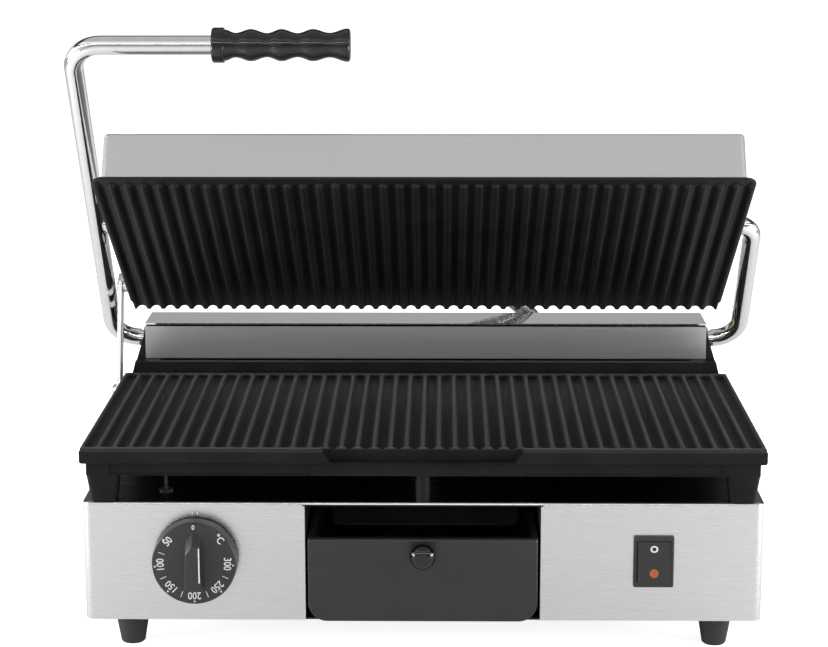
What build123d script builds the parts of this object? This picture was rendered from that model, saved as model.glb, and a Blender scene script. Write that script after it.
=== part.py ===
"""Contact grill: a press with two ribbed cast plates over a stainless housing.

The bail is one bent bar. It turns in the hinge box behind the lower plate, carries the upper
plate on two pivots at its sides, and ends in a grip at the front. A slotted stay on the left
holds the back of the upper plate down when the bail is raised, so that the plate tips open.

Millimetres. +X is right, +Y is back and +Z is up. The origin is on the floor, at the centre
between the four feet. The model stands with the grill open.
"""
import os
from math import asin, atan2, cos, degrees, hypot, pi, radians, sin

from build123d import *

os.makedirs("parts", exist_ok=True)

# Ribbed cooking surfaces
rib_pitch = 11.4
lower_ribs = 41
upper_ribs = 42
groove_depth = 3.4
rib_land = 0.8
rib_length = 221.0
rim_width = 6.0
side_rim = 1.0

# Lower plate
plate_overhang = 6.0
rib_top_z = 152.0
rim_drop = 1.0
rim_height = 10.0
skirt_height = 9.0
skirt_inset = 4.0
leg_height = 20.0
plate_skin = 10.0
skirt_wall = 10.0
notch_half = 65.0
notch_flare = 6.0
notch_depth = 9.4

# Housing
housing_side = 0.2
rear_room = 67.0
foot_height = 25.0
sheet = 1.2
housing_corner = 6.0

# Drip drawer
drawer_half = 81.3
drawer_gap = 2.0
drawer_drop = 25.7
drawer_rear_room = 86.0
drawer_wall = 1.5
drawer_front_thick = 3.6
drawer_corner = 13.5
drawer_proud = 4.0

# Hinge box and bail
hinge_behind = 33.0
hinge_above = 20.7
bail_angle = 56.9
bail_clear = 10.1
bail_radius = 7.0
shaft_radius = 6.0
pivot_reach = 125.3
grip_reach = 300.0
bail_bend = 21.5
pivot_bend = 12.9
running = 0.05
grip_start = 101.9
grip_length = 99.2

# Upper plate and its steel cover, measured along the ribs and square to them
lid_tilt = 35.0
pivot_from_back = 85.5
pivot_above = 35.1
closed_gap = 0.7
flange_thick = 2.2
flange_side = 2.8
cover_inset = 7.0
cover_overhang = 4.0
cover_short = 2.0
cover_top = 41.5
casting_top = 15.0

# Stay
stay_from_back = 19.5
stay_drop = 10.25
stay_pin_from_back = 18.7
stay_pin_above = 11.6
stay_thick = 3.0
stay_width = 15.0
stay_stand = 1.1
stay_pin_radius = 2.5
stay_clear = 0.45

# Control panel
dial_inset = 1.35
dial_above = 2.5
dial_radius = 30.1
dial_depth = 11.5
dial_bar = 12.0
switch_outset = 1.05
switch_above = 1.0
switch_tilt = 8.0
rocker_travel = 16.0

# Ribbed conduit from the back of the hinge box to the top of the upper plate
conduit_radius = 7.5
conduit_root = 6.7
conduit_bore = 5.5
conduit_rib = 3.2
conduit_low_x = 100.0
conduit_drop = 4.7
conduit_lean = 42.0
conduit_high_x = 10.0
conduit_from_back = 26.0

# Small clearances
touch_gap = 0.3
seat_gap = 0.2

# Places worked out from the sizes above
plate_half = (lower_ribs + 1) / 2 * rib_pitch + side_rim
plate_depth = rib_length + 2 * rim_width
housing_half = plate_half + housing_side
housing_depth = plate_depth + rear_room - plate_overhang
housing_front_y = -housing_depth / 2
plate_front_y = housing_front_y - plate_overhang
plate_back_y = plate_front_y + plate_depth
plate_mid_y = plate_front_y + plate_depth / 2
rib_front_y = plate_front_y + rim_width
rim_top_z = rib_top_z - rim_drop
rim_bottom_z = rim_top_z - rim_height
plate_bottom_z = rim_bottom_z - skirt_height
deck_z = plate_bottom_z - leg_height
housing_back_y = housing_front_y + housing_depth
groove_half = (rib_pitch - rib_land) / 2
groove_radius = (groove_half**2 + groove_depth**2) / (2 * groove_depth)
drawer_length = housing_depth - drawer_rear_room
drawer_top_z = deck_z - drawer_drop
hinge_y = plate_back_y + hinge_behind
hinge_z = rib_top_z + hinge_above
flange_half = (upper_ribs - 1) / 2 * rib_pitch + flange_side
cover_half = flange_half - cover_inset
cover_back = rib_length - cover_short
bail_half = flange_half + bail_clear + bail_radius
grip_start_x = grip_start - bail_half
pivot_along = rib_length - pivot_from_back
stay_y = plate_back_y - stay_from_back
stay_z = rib_top_z - stay_drop
stay_pin_along = rib_length - stay_pin_from_back
stay_inner_x = -plate_half - stay_stand
panel_mid_x = (drawer_half + drawer_gap + housing_half) / 2
panel_mid_z = (foot_height + deck_z) / 2
dial_x = dial_inset - panel_mid_x
dial_z = panel_mid_z + dial_above
switch_x = switch_outset + panel_mid_x
switch_z = panel_mid_z + switch_above
conduit_high_along = rib_length - conduit_from_back
conduit_low_z = hinge_z - conduit_drop

bail_dir = Vector(0, -cos(radians(bail_angle)), sin(radians(bail_angle)))
along_dir = Vector(0, cos(radians(lid_tilt)), -sin(radians(lid_tilt)))
above_dir = Vector(0, sin(radians(lid_tilt)), cos(radians(lid_tilt)))
hinge_point = Vector(0, hinge_y, hinge_z)
pivot_point = hinge_point + bail_dir * pivot_reach
lid_origin = pivot_point - along_dir * pivot_along - above_dir * pivot_above


def level(z):
    """Plane at height z, sketched in x and y; extrudes upwards."""
    return Plane.XY.offset(z)


def front(y):
    """Upright plane at depth y, sketched in x and z; extrudes towards the front."""
    return Plane.XZ.offset(-y)


def side(x):
    """Upright plane at x, sketched in y and z; extrudes to the right."""
    return Plane.YZ.offset(x)


def lid_level(above):
    """Plane parallel to the upper ribs, sketched in x and along; extrudes away from the ribs."""
    origin = lid_origin + above_dir * above
    return Plane(origin=origin, x_dir=(1, 0, 0), z_dir=above_dir)


def lid_side(x):
    """Plane square to the lid's width, sketched in along and above; extrudes to the right."""
    return Plane(origin=lid_origin + Vector(x, 0, 0), x_dir=along_dir, z_dir=(1, 0, 0))


def lid_point(x, along, above):
    """A point of the tilted lid in the world."""
    return lid_origin + Vector(x, 0, 0) + along_dir * along + above_dir * above


bail_plane = Plane(
    origin=hinge_point,
    x_dir=(1, 0, 0),
    z_dir=(0, -sin(radians(bail_angle)), -cos(radians(bail_angle))),
)


def finish(builder, name):
    """Label one piece and write it."""
    builder.part.label = name
    export_step(builder.part, f"parts/{name}.step")


# How far the bail swings, and what the lid and the stay do meanwhile
closed_pivot_z = rib_top_z + closed_gap + pivot_above
closed_bail = degrees(asin((closed_pivot_z - hinge_z) / pivot_reach))
bail_swing = bail_angle - closed_bail
closed_pivot_y = hinge_y - pivot_reach * cos(radians(closed_bail))
closed_pin_y = closed_pivot_y + stay_pin_along - pivot_along
closed_pin_z = closed_pivot_z + stay_pin_above - pivot_above
open_pin = lid_point(0, stay_pin_along, stay_pin_above)
stay_open_reach = hypot(open_pin.Y - stay_y, open_pin.Z - stay_z)
stay_closed_reach = hypot(closed_pin_y - stay_y, closed_pin_z - stay_z)
stay_open_angle = degrees(atan2(open_pin.Z - stay_z, open_pin.Y - stay_y))
stay_closed_angle = degrees(atan2(closed_pin_z - stay_z, closed_pin_y - stay_y))
stay_swing = stay_closed_angle - stay_open_angle
print("pivot", round(pivot_point.Y, 3), round(pivot_point.Z, 3), "swing", round(bail_swing, 3))
print("lid turns on the bail by", round(lid_tilt - bail_swing, 3))
print("stay reach", round(stay_open_reach, 2), round(stay_closed_reach, 2))
print("stay angles", round(stay_open_angle, 2), round(stay_swing, 2))

# Lower plate: a ribbed casting on four legs, with a pouring notch in its front rim
leg_top_width = 23.6
leg_foot_width = 17.7
leg_depth = 20.0
leg_x = plate_half - 15.4
leg_front_y = plate_front_y + 4.0 + leg_depth / 2
leg_back_y = plate_back_y - 12.0 - leg_depth / 2
pocket_half = plate_half - skirt_inset - skirt_wall
pocket_front_y = plate_front_y + skirt_inset + skirt_wall
pocket_back_y = plate_back_y - skirt_inset - skirt_wall
pocket_top_z = rim_top_z - plate_skin + rim_drop
stay_boss_radius = 7.0
plate_bolt_radius = 3.0
plate_bolt_depth = 14.0
leg_places = [(x, y) for x in (-leg_x, leg_x) for y in (leg_front_y, leg_back_y)]

with BuildPart() as lower_plate:
    with BuildSketch(level(rim_bottom_z)) as rim_sketch:
        with Locations((0, plate_mid_y)):
            Rectangle(2 * plate_half, plate_depth)
        fillet(rim_sketch.vertices(), radius=3.0)
    extrude(amount=rib_top_z - rim_bottom_z)
    fillet(lower_plate.faces().sort_by(Axis.Z)[0].edges(), radius=3.0)
    fillet(lower_plate.faces().sort_by(Axis.Z)[-1].edges(), radius=1.2)
    with BuildSketch(level(plate_bottom_z)) as skirt_sketch:
        with Locations((0, plate_mid_y)):
            Rectangle(2 * (plate_half - skirt_inset), plate_depth - 2 * skirt_inset)
        fillet(skirt_sketch.vertices(), radius=2.0)
    extrude(amount=skirt_height + 1.0)
    # Grooves between the ribs
    with BuildSketch(front(rib_front_y)):
        with Locations((0, rib_top_z + groove_radius - groove_depth)):
            with GridLocations(rib_pitch, 0, lower_ribs + 1, 1):
                Circle(groove_radius)
    extrude(amount=-rib_length, mode=Mode.SUBTRACT)
    # The rims in front of and behind the ribs lie a little lower
    with BuildSketch(level(rim_top_z)):
        with Locations((0, plate_front_y + rim_width / 2), (0, plate_back_y - rim_width / 2)):
            Rectangle(2 * (plate_half - 2 * side_rim), rim_width)
    extrude(amount=rim_drop, mode=Mode.SUBTRACT)
    # Pouring notch
    with BuildSketch(front(plate_front_y - 1)):
        with BuildLine():
            Polyline(
                (-notch_half - notch_flare, rib_top_z + 1),
                (-notch_half, rib_top_z - notch_depth),
                (notch_half, rib_top_z - notch_depth),
                (notch_half + notch_flare, rib_top_z + 1),
                close=True,
            )
        make_face()
    extrude(amount=-(rim_width + 1), mode=Mode.SUBTRACT)
    # Shallow panels in the front of the skirt
    with BuildSketch(front(plate_front_y + skirt_inset)):
        with Locations((-150, plate_bottom_z + 4.5), (140, plate_bottom_z + 4.5)):
            Rectangle(140, 7)
    extrude(amount=-1.5, mode=Mode.SUBTRACT)
    # Pocket for the element
    with BuildSketch(level(plate_bottom_z)) as pocket_sketch:
        with Locations((0, (pocket_front_y + pocket_back_y) / 2)):
            Rectangle(2 * pocket_half, pocket_back_y - pocket_front_y)
        fillet(pocket_sketch.vertices(), radius=8.0)
    extrude(amount=pocket_top_z - plate_bottom_z, mode=Mode.SUBTRACT)
    # Boss for the stay bolt on the left side
    with BuildSketch(side(-plate_half)):
        with Locations((stay_y, stay_z)):
            Circle(stay_boss_radius)
    extrude(amount=skirt_inset + skirt_wall)
    # Legs, tapering to the deck
    for x, y in leg_places:
        with BuildSketch(level(plate_bottom_z + 0.0)):
            with Locations((x, y)):
                Rectangle(leg_top_width, leg_depth)
        with BuildSketch(level(deck_z)):
            with Locations((x, y)):
                Rectangle(leg_foot_width, leg_depth - 4)
        loft()
    with BuildSketch(level(deck_z)):
        with Locations((0, plate_front_y + skirt_inset + 7)):
            Circle(5.0)
    extrude(amount=leg_height)
    with BuildSketch(level(deck_z)):
        with Locations(*leg_places):
            Circle(plate_bolt_radius)
    extrude(amount=plate_bolt_depth, mode=Mode.SUBTRACT)
    with BuildSketch(side(-plate_half)):
        with Locations((stay_y, stay_z)):
            Circle(stay_pin_radius)
    extrude(amount=skirt_wall, mode=Mode.SUBTRACT)
finish(lower_plate, "lower_plate")

# Bolts that hold the plate's legs down to the deck
bolt_head_radius = 5.0
bolt_head = 4.0
with BuildPart() as plate_bolts:
    with BuildSketch(level(deck_z - sheet - bolt_head)):
        with Locations(*leg_places):
            RegularPolygon(radius=bolt_head_radius, side_count=6)
    extrude(amount=bolt_head)
    with BuildSketch(level(deck_z - sheet)):
        with Locations(*leg_places):
            Circle(plate_bolt_radius)
    extrude(amount=sheet + plate_bolt_depth)
finish(plate_bolts, "plate_bolts")

# Tubular heating elements, one in each plate
element_radius = 3.3
element_bend = 20.0
element_front_y = plate_front_y + 45.0
element_mid_y = plate_back_y - 60.0
element_end_y = pocket_back_y - 8.0
element_outer_x = pocket_half - 56.4
element_inner_x = 100.0
element_end_x = 30.0
capillary_x = -element_outer_x - 14.0
capillary_y = plate_front_y + 34.0
capillary_radius = 1.2


def element_points(shift):
    """Route of an element from one end to the other, with its places along y moved by shift."""
    near = element_front_y + shift
    middle = element_mid_y + shift
    end = element_end_y + shift
    left = [
        (-element_end_x, end),
        (-element_end_x, near + 45),
        (-element_inner_x, near + 45),
        (-element_inner_x, middle),
        (-element_outer_x, middle),
        (-element_outer_x, near),
    ]
    return left + [(-x, y) for x, y in reversed(left)]


element_z = pocket_top_z - element_radius - seat_gap
with BuildPart() as lower_element:
    with BuildLine(level(element_z)) as element_line:
        FilletPolyline(*element_points(0), radius=element_bend)
    with BuildSketch(Plane(origin=element_line.line @ 0, z_dir=element_line.line % 0)):
        Circle(element_radius)
    sweep()
finish(lower_element, "lower_element")

shield_gap = 0.5
with BuildPart() as lower_shield:
    with BuildSketch(level(plate_bottom_z)) as shield_sketch:
        with Locations((0, (pocket_front_y + pocket_back_y) / 2)):
            Rectangle(2 * (pocket_half - shield_gap), pocket_back_y - pocket_front_y - 2 * shield_gap)
        fillet(shield_sketch.vertices(), radius=7.0)
    extrude(amount=sheet)
    with BuildSketch(level(plate_bottom_z)):
        with Locations((0, element_end_y - 2)):
            Rectangle(90, 16)
        with Locations((capillary_x, capillary_y)):
            Circle(3.0)
    extrude(amount=sheet, mode=Mode.SUBTRACT)
finish(lower_shield, "lower_shield")

clamp_width = 14.0
clamp_top_z = element_z - element_radius
clamp_side_x = (element_outer_x + element_inner_x) / 2
clamp_places = [
    (-clamp_side_x, element_mid_y - 40),
    (clamp_side_x, element_mid_y - 40),
    (0, element_front_y + 20),
]
with BuildPart() as lower_clamps:
    with BuildSketch(level(plate_bottom_z + sheet)):
        with Locations(*clamp_places):
            Rectangle(88, clamp_width)
    extrude(amount=clamp_top_z - plate_bottom_z - sheet)
finish(lower_clamps, "lower_clamps")

# Housing: a folded stainless box, open below, whose top is the deck
opening_half = drawer_half + drawer_gap
opening_top_z = deck_z - 2.4
grommet_radius = 5.0
lead_tube_radius = 7.0
gland_x = 150.0
gland_z = panel_mid_z - 6.5
gland_thread = 8.0
hinge_bolt_places = [(x, y) for x in (-180, 180) for y in (hinge_y - 13, hinge_y + 11)]
switch_body_half = (12.4, 16.8)
index_z = dial_z + dial_radius + 2.2
index_radius = 2.1

with BuildPart() as housing:
    with BuildSketch(level(foot_height)) as outer_sketch:
        with Locations((0, housing_front_y + housing_depth / 2)):
            RectangleRounded(2 * housing_half, housing_depth, housing_corner)
    extrude(amount=deck_z - foot_height)
    fillet(housing.faces().sort_by(Axis.Z)[-1].edges(), radius=1.6)
    with BuildSketch(level(foot_height)):
        with Locations((0, housing_front_y + housing_depth / 2)):
            RectangleRounded(2 * (housing_half - sheet), housing_depth - 2 * sheet, housing_corner - sheet)
    extrude(amount=deck_z - foot_height - sheet, mode=Mode.SUBTRACT)
    with BuildSketch(front(housing_front_y)):
        with Locations((0, (foot_height + opening_top_z) / 2)):
            Rectangle(2 * opening_half, opening_top_z - foot_height)
        with Locations((dial_x, dial_z)):
            Circle(5.5)
        with Locations((switch_x, switch_z)):
            Rectangle(2 * switch_body_half[0], 2 * switch_body_half[1])
        with Locations((dial_x, index_z)):
            Circle(1.4)
    extrude(amount=-2 * sheet, mode=Mode.SUBTRACT)
    with BuildSketch(front(housing_back_y)):
        with Locations((gland_x, gland_z)):
            Circle(gland_thread)
    extrude(amount=2 * sheet, mode=Mode.SUBTRACT)
    with BuildSketch(level(deck_z)):
        with Locations(*leg_places, *hinge_bolt_places):
            Circle(plate_bolt_radius)
        with Locations((capillary_x, capillary_y)):
            Circle(grommet_radius - 1.2)
        with Locations((0, element_end_y - 2), (120, hinge_y)):
            Circle(lead_tube_radius)
    extrude(amount=-sheet, mode=Mode.SUBTRACT)
finish(housing, "housing")

# Folded strip along the deck's front edge, over the drawer opening
with BuildPart() as deck_strip:
    with BuildSketch(front(housing_front_y)):
        with Locations((0, (opening_top_z + deck_z) / 2)):
            Rectangle(2 * opening_half + 3, deck_z - opening_top_z)
    extrude(amount=1.4)
    fillet(deck_strip.faces().sort_by(Axis.Y)[0].edges().filter_by(Axis.X), radius=0.5)
finish(deck_strip, "deck_strip")

# Base plate, its flanges screwed to the housing's sides
base_flange = 12.0
foot_x = housing_half - 30.3
foot_y = housing_depth / 2 - 25.0
foot_places = [(x, y) for x in (-foot_x, foot_x) for y in (-foot_y, foot_y)]
foot_screw_radius = 2.5
base_half = housing_half - sheet
with BuildPart() as base_plate:
    with BuildSketch(level(foot_height)):
        with Locations((0, 0)):
            RectangleRounded(2 * base_half, housing_depth - 2 * sheet, housing_corner - sheet)
    extrude(amount=sheet)
    with BuildSketch(level(foot_height)):
        with Locations((-base_half + sheet / 2, 0), (base_half - sheet / 2, 0)):
            Rectangle(sheet, 2 * foot_y)
    extrude(amount=base_flange)
    with BuildSketch(level(foot_height)):
        with Locations(*foot_places):
            Circle(foot_screw_radius)
        for x in (-150, 150):
            with Locations((x, 0)):
                with GridLocations(12, 0, 7, 1):
                    SlotOverall(60, 5, rotation=90)
    extrude(amount=sheet, mode=Mode.SUBTRACT)
finish(base_plate, "base_plate")

# Rubber feet, tapering to the floor, and their screws
foot_top_radius = 12.4
foot_floor_radius = 8.7
foot_socket = 5.0
foot_head_z = 8.0
with BuildPart() as rubber_feet:
    for x, y in foot_places:
        with BuildSketch(Plane(origin=(x, y, 0), x_dir=(1, 0, 0), z_dir=(0, -1, 0))):
            with BuildLine():
                Polyline(
                    (foot_screw_radius, foot_head_z),
                    (foot_socket, foot_head_z),
                    (foot_socket, 0),
                    (foot_floor_radius - 1, 0),
                    (foot_floor_radius, 1),
                    (foot_top_radius, foot_height - 2),
                    (foot_top_radius, foot_height),
                    (foot_screw_radius, foot_height),
                    close=True,
                )
            make_face()
        revolve(axis=Axis((x, y, 0), (0, 0, 1)))
finish(rubber_feet, "rubber_feet")

foot_screw_head = 3.0
with BuildPart() as foot_screws:
    with BuildSketch(level(foot_head_z - foot_screw_head)):
        with Locations(*foot_places):
            Circle(foot_socket - 0.6)
    extrude(amount=foot_screw_head)
    with BuildSketch(level(foot_head_z)):
        with Locations(*foot_places):
            Circle(foot_screw_radius)
    extrude(amount=foot_height - foot_head_z + sheet + 5)
finish(foot_screws, "foot_screws")

with BuildPart() as foot_nuts:
    with BuildSketch(level(foot_height + sheet)):
        with Locations(*foot_places):
            RegularPolygon(radius=4.6, side_count=6)
            Circle(foot_screw_radius, mode=Mode.SUBTRACT)
    extrude(amount=4.0)
finish(foot_nuts, "foot_nuts")

# Inner walls of the drawer's bay, which keep fat away from the wiring
bay_back_y = housing_front_y + drawer_length + 12.0
bay_top_z = deck_z - sheet
with BuildPart() as drawer_bay:
    with BuildSketch(level(foot_height + sheet)):
        with BuildLine():
            Polyline(
                (-opening_half - sheet, housing_front_y + sheet),
                (-opening_half - sheet, bay_back_y),
                (opening_half + sheet, bay_back_y),
                (opening_half + sheet, housing_front_y + sheet),
                (opening_half, housing_front_y + sheet),
                (opening_half, bay_back_y - sheet),
                (-opening_half, bay_back_y - sheet),
                (-opening_half, housing_front_y + sheet),
                close=True,
            )
        make_face()
    extrude(amount=bay_top_z - foot_height - sheet)
finish(drawer_bay, "drawer_bay")

# Drip drawer: a pressed tray with a rounded front
tray_bottom_z = foot_height + sheet + touch_gap
tray_half = drawer_half - drawer_wall
drawer_face_y = housing_front_y - drawer_proud
tray_front_y = drawer_face_y + drawer_front_thick
tray_back_y = drawer_face_y + drawer_length
drawer_knob_z = drawer_top_z - 9.3
drawer_screw_radius = 2.0
with BuildPart() as drawer_tray:
    with BuildSketch(front(tray_front_y)) as tray_sketch:
        with Locations((0, (tray_bottom_z + drawer_top_z) / 2)):
            Rectangle(2 * tray_half, drawer_top_z - tray_bottom_z)
        fillet(tray_sketch.vertices().group_by(Axis.Y)[0], radius=drawer_corner - drawer_wall)
    extrude(amount=-(tray_back_y - tray_front_y))
    fillet(drawer_tray.edges().filter_by(Axis.Z).group_by(Axis.Y)[-1], radius=8.0)
    offset(amount=-drawer_wall, openings=drawer_tray.faces().sort_by(Axis.Z)[-1])
    # Rolled rim along both sides
    with BuildSketch(level(drawer_top_z)):
        for edge_x in (-1, 1):
            with Locations((edge_x * (tray_half + drawer_wall / 2), (tray_front_y + tray_back_y) / 2 - 4)):
                Rectangle(drawer_wall, tray_back_y - tray_front_y - 8)
    extrude(amount=-3.0)
    with BuildSketch(front(tray_front_y)):
        with Locations((0, drawer_knob_z)):
            Circle(drawer_screw_radius)
    extrude(amount=-drawer_wall, mode=Mode.SUBTRACT)
finish(drawer_tray, "drawer_tray")

with BuildPart() as drawer_front:
    with BuildSketch(front(tray_front_y)) as front_sketch:
        with Locations((0, (foot_height + drawer_top_z) / 2)):
            Rectangle(2 * drawer_half, drawer_top_z - foot_height)
        fillet(front_sketch.vertices().group_by(Axis.Y)[0], radius=drawer_corner)
        fillet(front_sketch.vertices().group_by(Axis.Y)[-1], radius=2.0)
    extrude(amount=drawer_front_thick)
    fillet(drawer_front.faces().sort_by(Axis.Y)[0].edges(), radius=1.8)
    with BuildSketch(front(tray_front_y)):
        with Locations((0, drawer_knob_z)):
            Circle(drawer_screw_radius)
    extrude(amount=drawer_front_thick, mode=Mode.SUBTRACT)
finish(drawer_front, "drawer_front")

drawer_knob_radius = 9.2
drawer_knob_length = 17.0
drawer_knob_neck = 5.5
knob_screw_depth = 9.0
knob_crown = 4.0
with BuildPart() as drawer_knob:
    with BuildSketch(Plane(origin=(0, drawer_face_y, drawer_knob_z), x_dir=(0, -1, 0), z_dir=(1, 0, 0))):
        with BuildLine():
            neck = Polyline((0, 0), (0, drawer_knob_neck), (4.0, drawer_knob_neck))
            flare = TangentArc(neck @ 1, (drawer_knob_length - 6.5, drawer_knob_radius), tangent=(1, 0.05))
            cap = ThreePointArc(
                flare @ 1,
                (drawer_knob_length - 2.4, drawer_knob_radius * 0.84),
                (drawer_knob_length, knob_crown),
            )
            Polyline(cap @ 1, (drawer_knob_length, 0), neck @ 0)
        make_face()
    revolve(axis=Axis((0, drawer_face_y, drawer_knob_z), (0, 1, 0)))
    with BuildSketch(front(drawer_face_y)):
        with Locations((0, drawer_knob_z)):
            Circle(drawer_screw_radius)
    extrude(amount=knob_screw_depth, mode=Mode.SUBTRACT)
finish(drawer_knob, "drawer_knob")

tray_wall_back_y = tray_front_y + drawer_wall
with BuildPart() as drawer_knob_screw:
    with BuildSketch(front(tray_wall_back_y)):
        with Locations((0, drawer_knob_z)):
            Circle(drawer_screw_radius)
    extrude(amount=drawer_wall + drawer_front_thick + knob_screw_depth)
    with BuildSketch(front(tray_wall_back_y)):
        with Locations((0, drawer_knob_z)):
            Circle(4.0)
    extrude(amount=-2.4)
finish(drawer_knob_screw, "drawer_knob_screw")

# Thermostat behind the left panel, its capillary and the bulb under the lower plate
panel_back_y = housing_front_y + sheet
thermostat_half = 17.0
thermostat_depth = 30.0
shaft_hole = 3.0
dial_shaft_end_y = panel_back_y + 10.0
with BuildPart() as thermostat_body:
    with BuildSketch(front(panel_back_y)) as thermostat_sketch:
        with Locations((dial_x, dial_z)):
            Rectangle(2 * thermostat_half, 2 * thermostat_half)
        fillet(thermostat_sketch.vertices(), radius=3.0)
    extrude(amount=-thermostat_depth)
    with BuildSketch(front(panel_back_y)):
        with Locations((dial_x, dial_z)):
            Circle(5.4)
    extrude(amount=sheet + 1.5)
    with BuildSketch(front(panel_back_y - sheet - 1.5)):
        with Locations((dial_x, dial_z)):
            Circle(shaft_hole + running)
    extrude(amount=-(dial_shaft_end_y - panel_back_y + sheet + 2.0), mode=Mode.SUBTRACT)
    with BuildSketch(front(panel_back_y + thermostat_depth)):
        with Locations((dial_x - 9, dial_z), (dial_x, dial_z), (dial_x + 9, dial_z)):
            Rectangle(0.8, 6.3)
    extrude(amount=-8)
finish(thermostat_body, "thermostat_body")

bulb_radius = 3.0
bulb_z = plate_bottom_z + sheet + bulb_radius + seat_gap
bulb_length = 70.0
thermostat_side_x = dial_x - thermostat_half
with BuildPart() as capillary:
    with BuildLine() as capillary_line:
        FilletPolyline(
            (thermostat_side_x, capillary_y, dial_z + 8),
            (capillary_x, capillary_y, dial_z + 8),
            (capillary_x, capillary_y, bulb_z),
            (capillary_x, capillary_y + 22, bulb_z),
            radius=3.4,
        )
    with BuildSketch(Plane(origin=capillary_line.line @ 0, z_dir=capillary_line.line % 0)):
        Circle(capillary_radius)
    sweep()
    with BuildSketch(front(capillary_y + 22)):
        with Locations((capillary_x, bulb_z)):
            Circle(bulb_radius)
    extrude(amount=-bulb_length)
finish(capillary, "capillary")

with BuildPart() as deck_grommet:
    with BuildSketch(level(deck_z)):
        with Locations((capillary_x, capillary_y)):
            Circle(grommet_radius)
            Circle(capillary_radius + seat_gap, mode=Mode.SUBTRACT)
    extrude(amount=1.6)
    with BuildSketch(level(deck_z - sheet)):
        with Locations((capillary_x, capillary_y)):
            Circle(grommet_radius - 1.2)
            Circle(capillary_radius + seat_gap, mode=Mode.SUBTRACT)
    extrude(amount=sheet)
finish(deck_grommet, "deck_grommet")

with BuildPart() as lead_tube:
    with BuildSketch(level(deck_z - sheet - 3)):
        with Locations((0, element_end_y - 2)):
            Circle(lead_tube_radius)
            Circle(lead_tube_radius - 1, mode=Mode.SUBTRACT)
    extrude(amount=plate_bottom_z - deck_z + sheet + 3)
finish(lead_tube, "lead_tube")

# Dial: a cup with a raised grip bar, on the thermostat's shaft
dial_back_y = housing_front_y - sheet - 1.2
dial_face_y = dial_back_y - dial_depth
dial_wall = 3.0
with BuildPart() as dial_knob:
    with BuildSketch(front(dial_back_y)):
        with Locations((dial_x, dial_z)):
            Circle(dial_radius)
    extrude(amount=dial_depth, taper=2.5)
    fillet(dial_knob.faces().sort_by(Axis.Y)[0].edges(), radius=2.2)
    with BuildSketch(front(dial_face_y + 1.0)):
        with BuildLine():
            Polyline(
                (dial_x - dial_bar / 2 - 1.5, dial_z - 20),
                (dial_x - dial_bar / 2, dial_z + 15),
                (dial_x, dial_z + 22),
                (dial_x + dial_bar / 2, dial_z + 15),
                (dial_x + dial_bar / 2 + 1.5, dial_z - 20),
                close=True,
            )
        make_face()
    extrude(amount=12.0, taper=6)
    fillet(dial_knob.faces().sort_by(Axis.Y)[0].edges(), radius=1.2)
    with BuildSketch(front(dial_back_y)):
        with Locations((dial_x, dial_z)):
            Circle(dial_radius - dial_wall - 1)
            Circle(6.5, mode=Mode.SUBTRACT)
    extrude(amount=dial_depth - dial_wall - 1, mode=Mode.SUBTRACT)
    with BuildSketch(front(dial_back_y)):
        with Locations((dial_x, dial_z)):
            Circle(shaft_hole)
    extrude(amount=dial_depth - dial_wall, mode=Mode.SUBTRACT)
finish(dial_knob, "dial_knob")

with BuildPart() as dial_shaft:
    with BuildSketch(front(dial_shaft_end_y)):
        with Locations((dial_x, dial_z)):
            Circle(shaft_hole)
    extrude(amount=dial_shaft_end_y - dial_back_y + dial_depth - dial_wall)
finish(dial_shaft, "dial_shaft")

with BuildPart() as index_rivet:
    with BuildSketch(front(housing_front_y)):
        with Locations((dial_x, index_z)):
            Circle(index_radius)
    extrude(amount=0.9)
    fillet(index_rivet.faces().sort_by(Axis.Y)[0].edges(), radius=0.5)
    with BuildSketch(front(panel_back_y)):
        with Locations((dial_x, index_z)):
            Circle(1.4)
    extrude(amount=sheet)
finish(index_rivet, "index_rivet")

# Rocker switch
bezel_half = (14.3, 18.9)
rocker_window = (11.9, 15.4)
rocker_half = (11.4, 14.0)
bezel_thick = 2.4
rocker_axis_y = housing_front_y - 1.0
rocker_proud = 3.7
rocker_trunnion = 1.5
switch_depth = 24.0
with BuildPart() as switch_body:
    with BuildSketch(front(housing_front_y)) as bezel_sketch:
        with Locations((switch_x, switch_z)):
            Rectangle(2 * bezel_half[0], 2 * bezel_half[1])
        fillet(bezel_sketch.vertices(), radius=1.5)
    extrude(amount=bezel_thick)
    fillet(switch_body.faces().sort_by(Axis.Y)[0].edges(), radius=0.9)
    with BuildSketch(front(housing_front_y)):
        with Locations((switch_x, switch_z)):
            Rectangle(2 * switch_body_half[0], 2 * switch_body_half[1])
    extrude(amount=-switch_depth)
    with BuildSketch(front(housing_front_y - bezel_thick)):
        with Locations((switch_x, switch_z)):
            Rectangle(2 * rocker_window[0], 2 * rocker_window[1])
    extrude(amount=-(bezel_thick + 12), mode=Mode.SUBTRACT)
    with BuildSketch(side(switch_x - switch_body_half[0])):
        with Locations((rocker_axis_y, switch_z)):
            Circle(rocker_trunnion + running)
    extrude(amount=2 * switch_body_half[0], mode=Mode.SUBTRACT)
finish(switch_body, "switch_body")

with BuildPart() as switch_tabs:
    with BuildSketch(front(housing_front_y + switch_depth)):
        with Locations((switch_x, switch_z)):
            with GridLocations(12, 11, 2, 2):
                Rectangle(6.3, 0.8)
    extrude(amount=-9)
finish(switch_tabs, "switch_tabs")

rocker_edge = hypot(rocker_half[1], rocker_proud + 2.3)


def rocker_point(angle, radius):
    """A point of the rocker's outline, by its angle above the pivot's front and its distance."""
    return (rocker_axis_y - radius * cos(radians(angle)), switch_z + radius * sin(radians(angle)))


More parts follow.
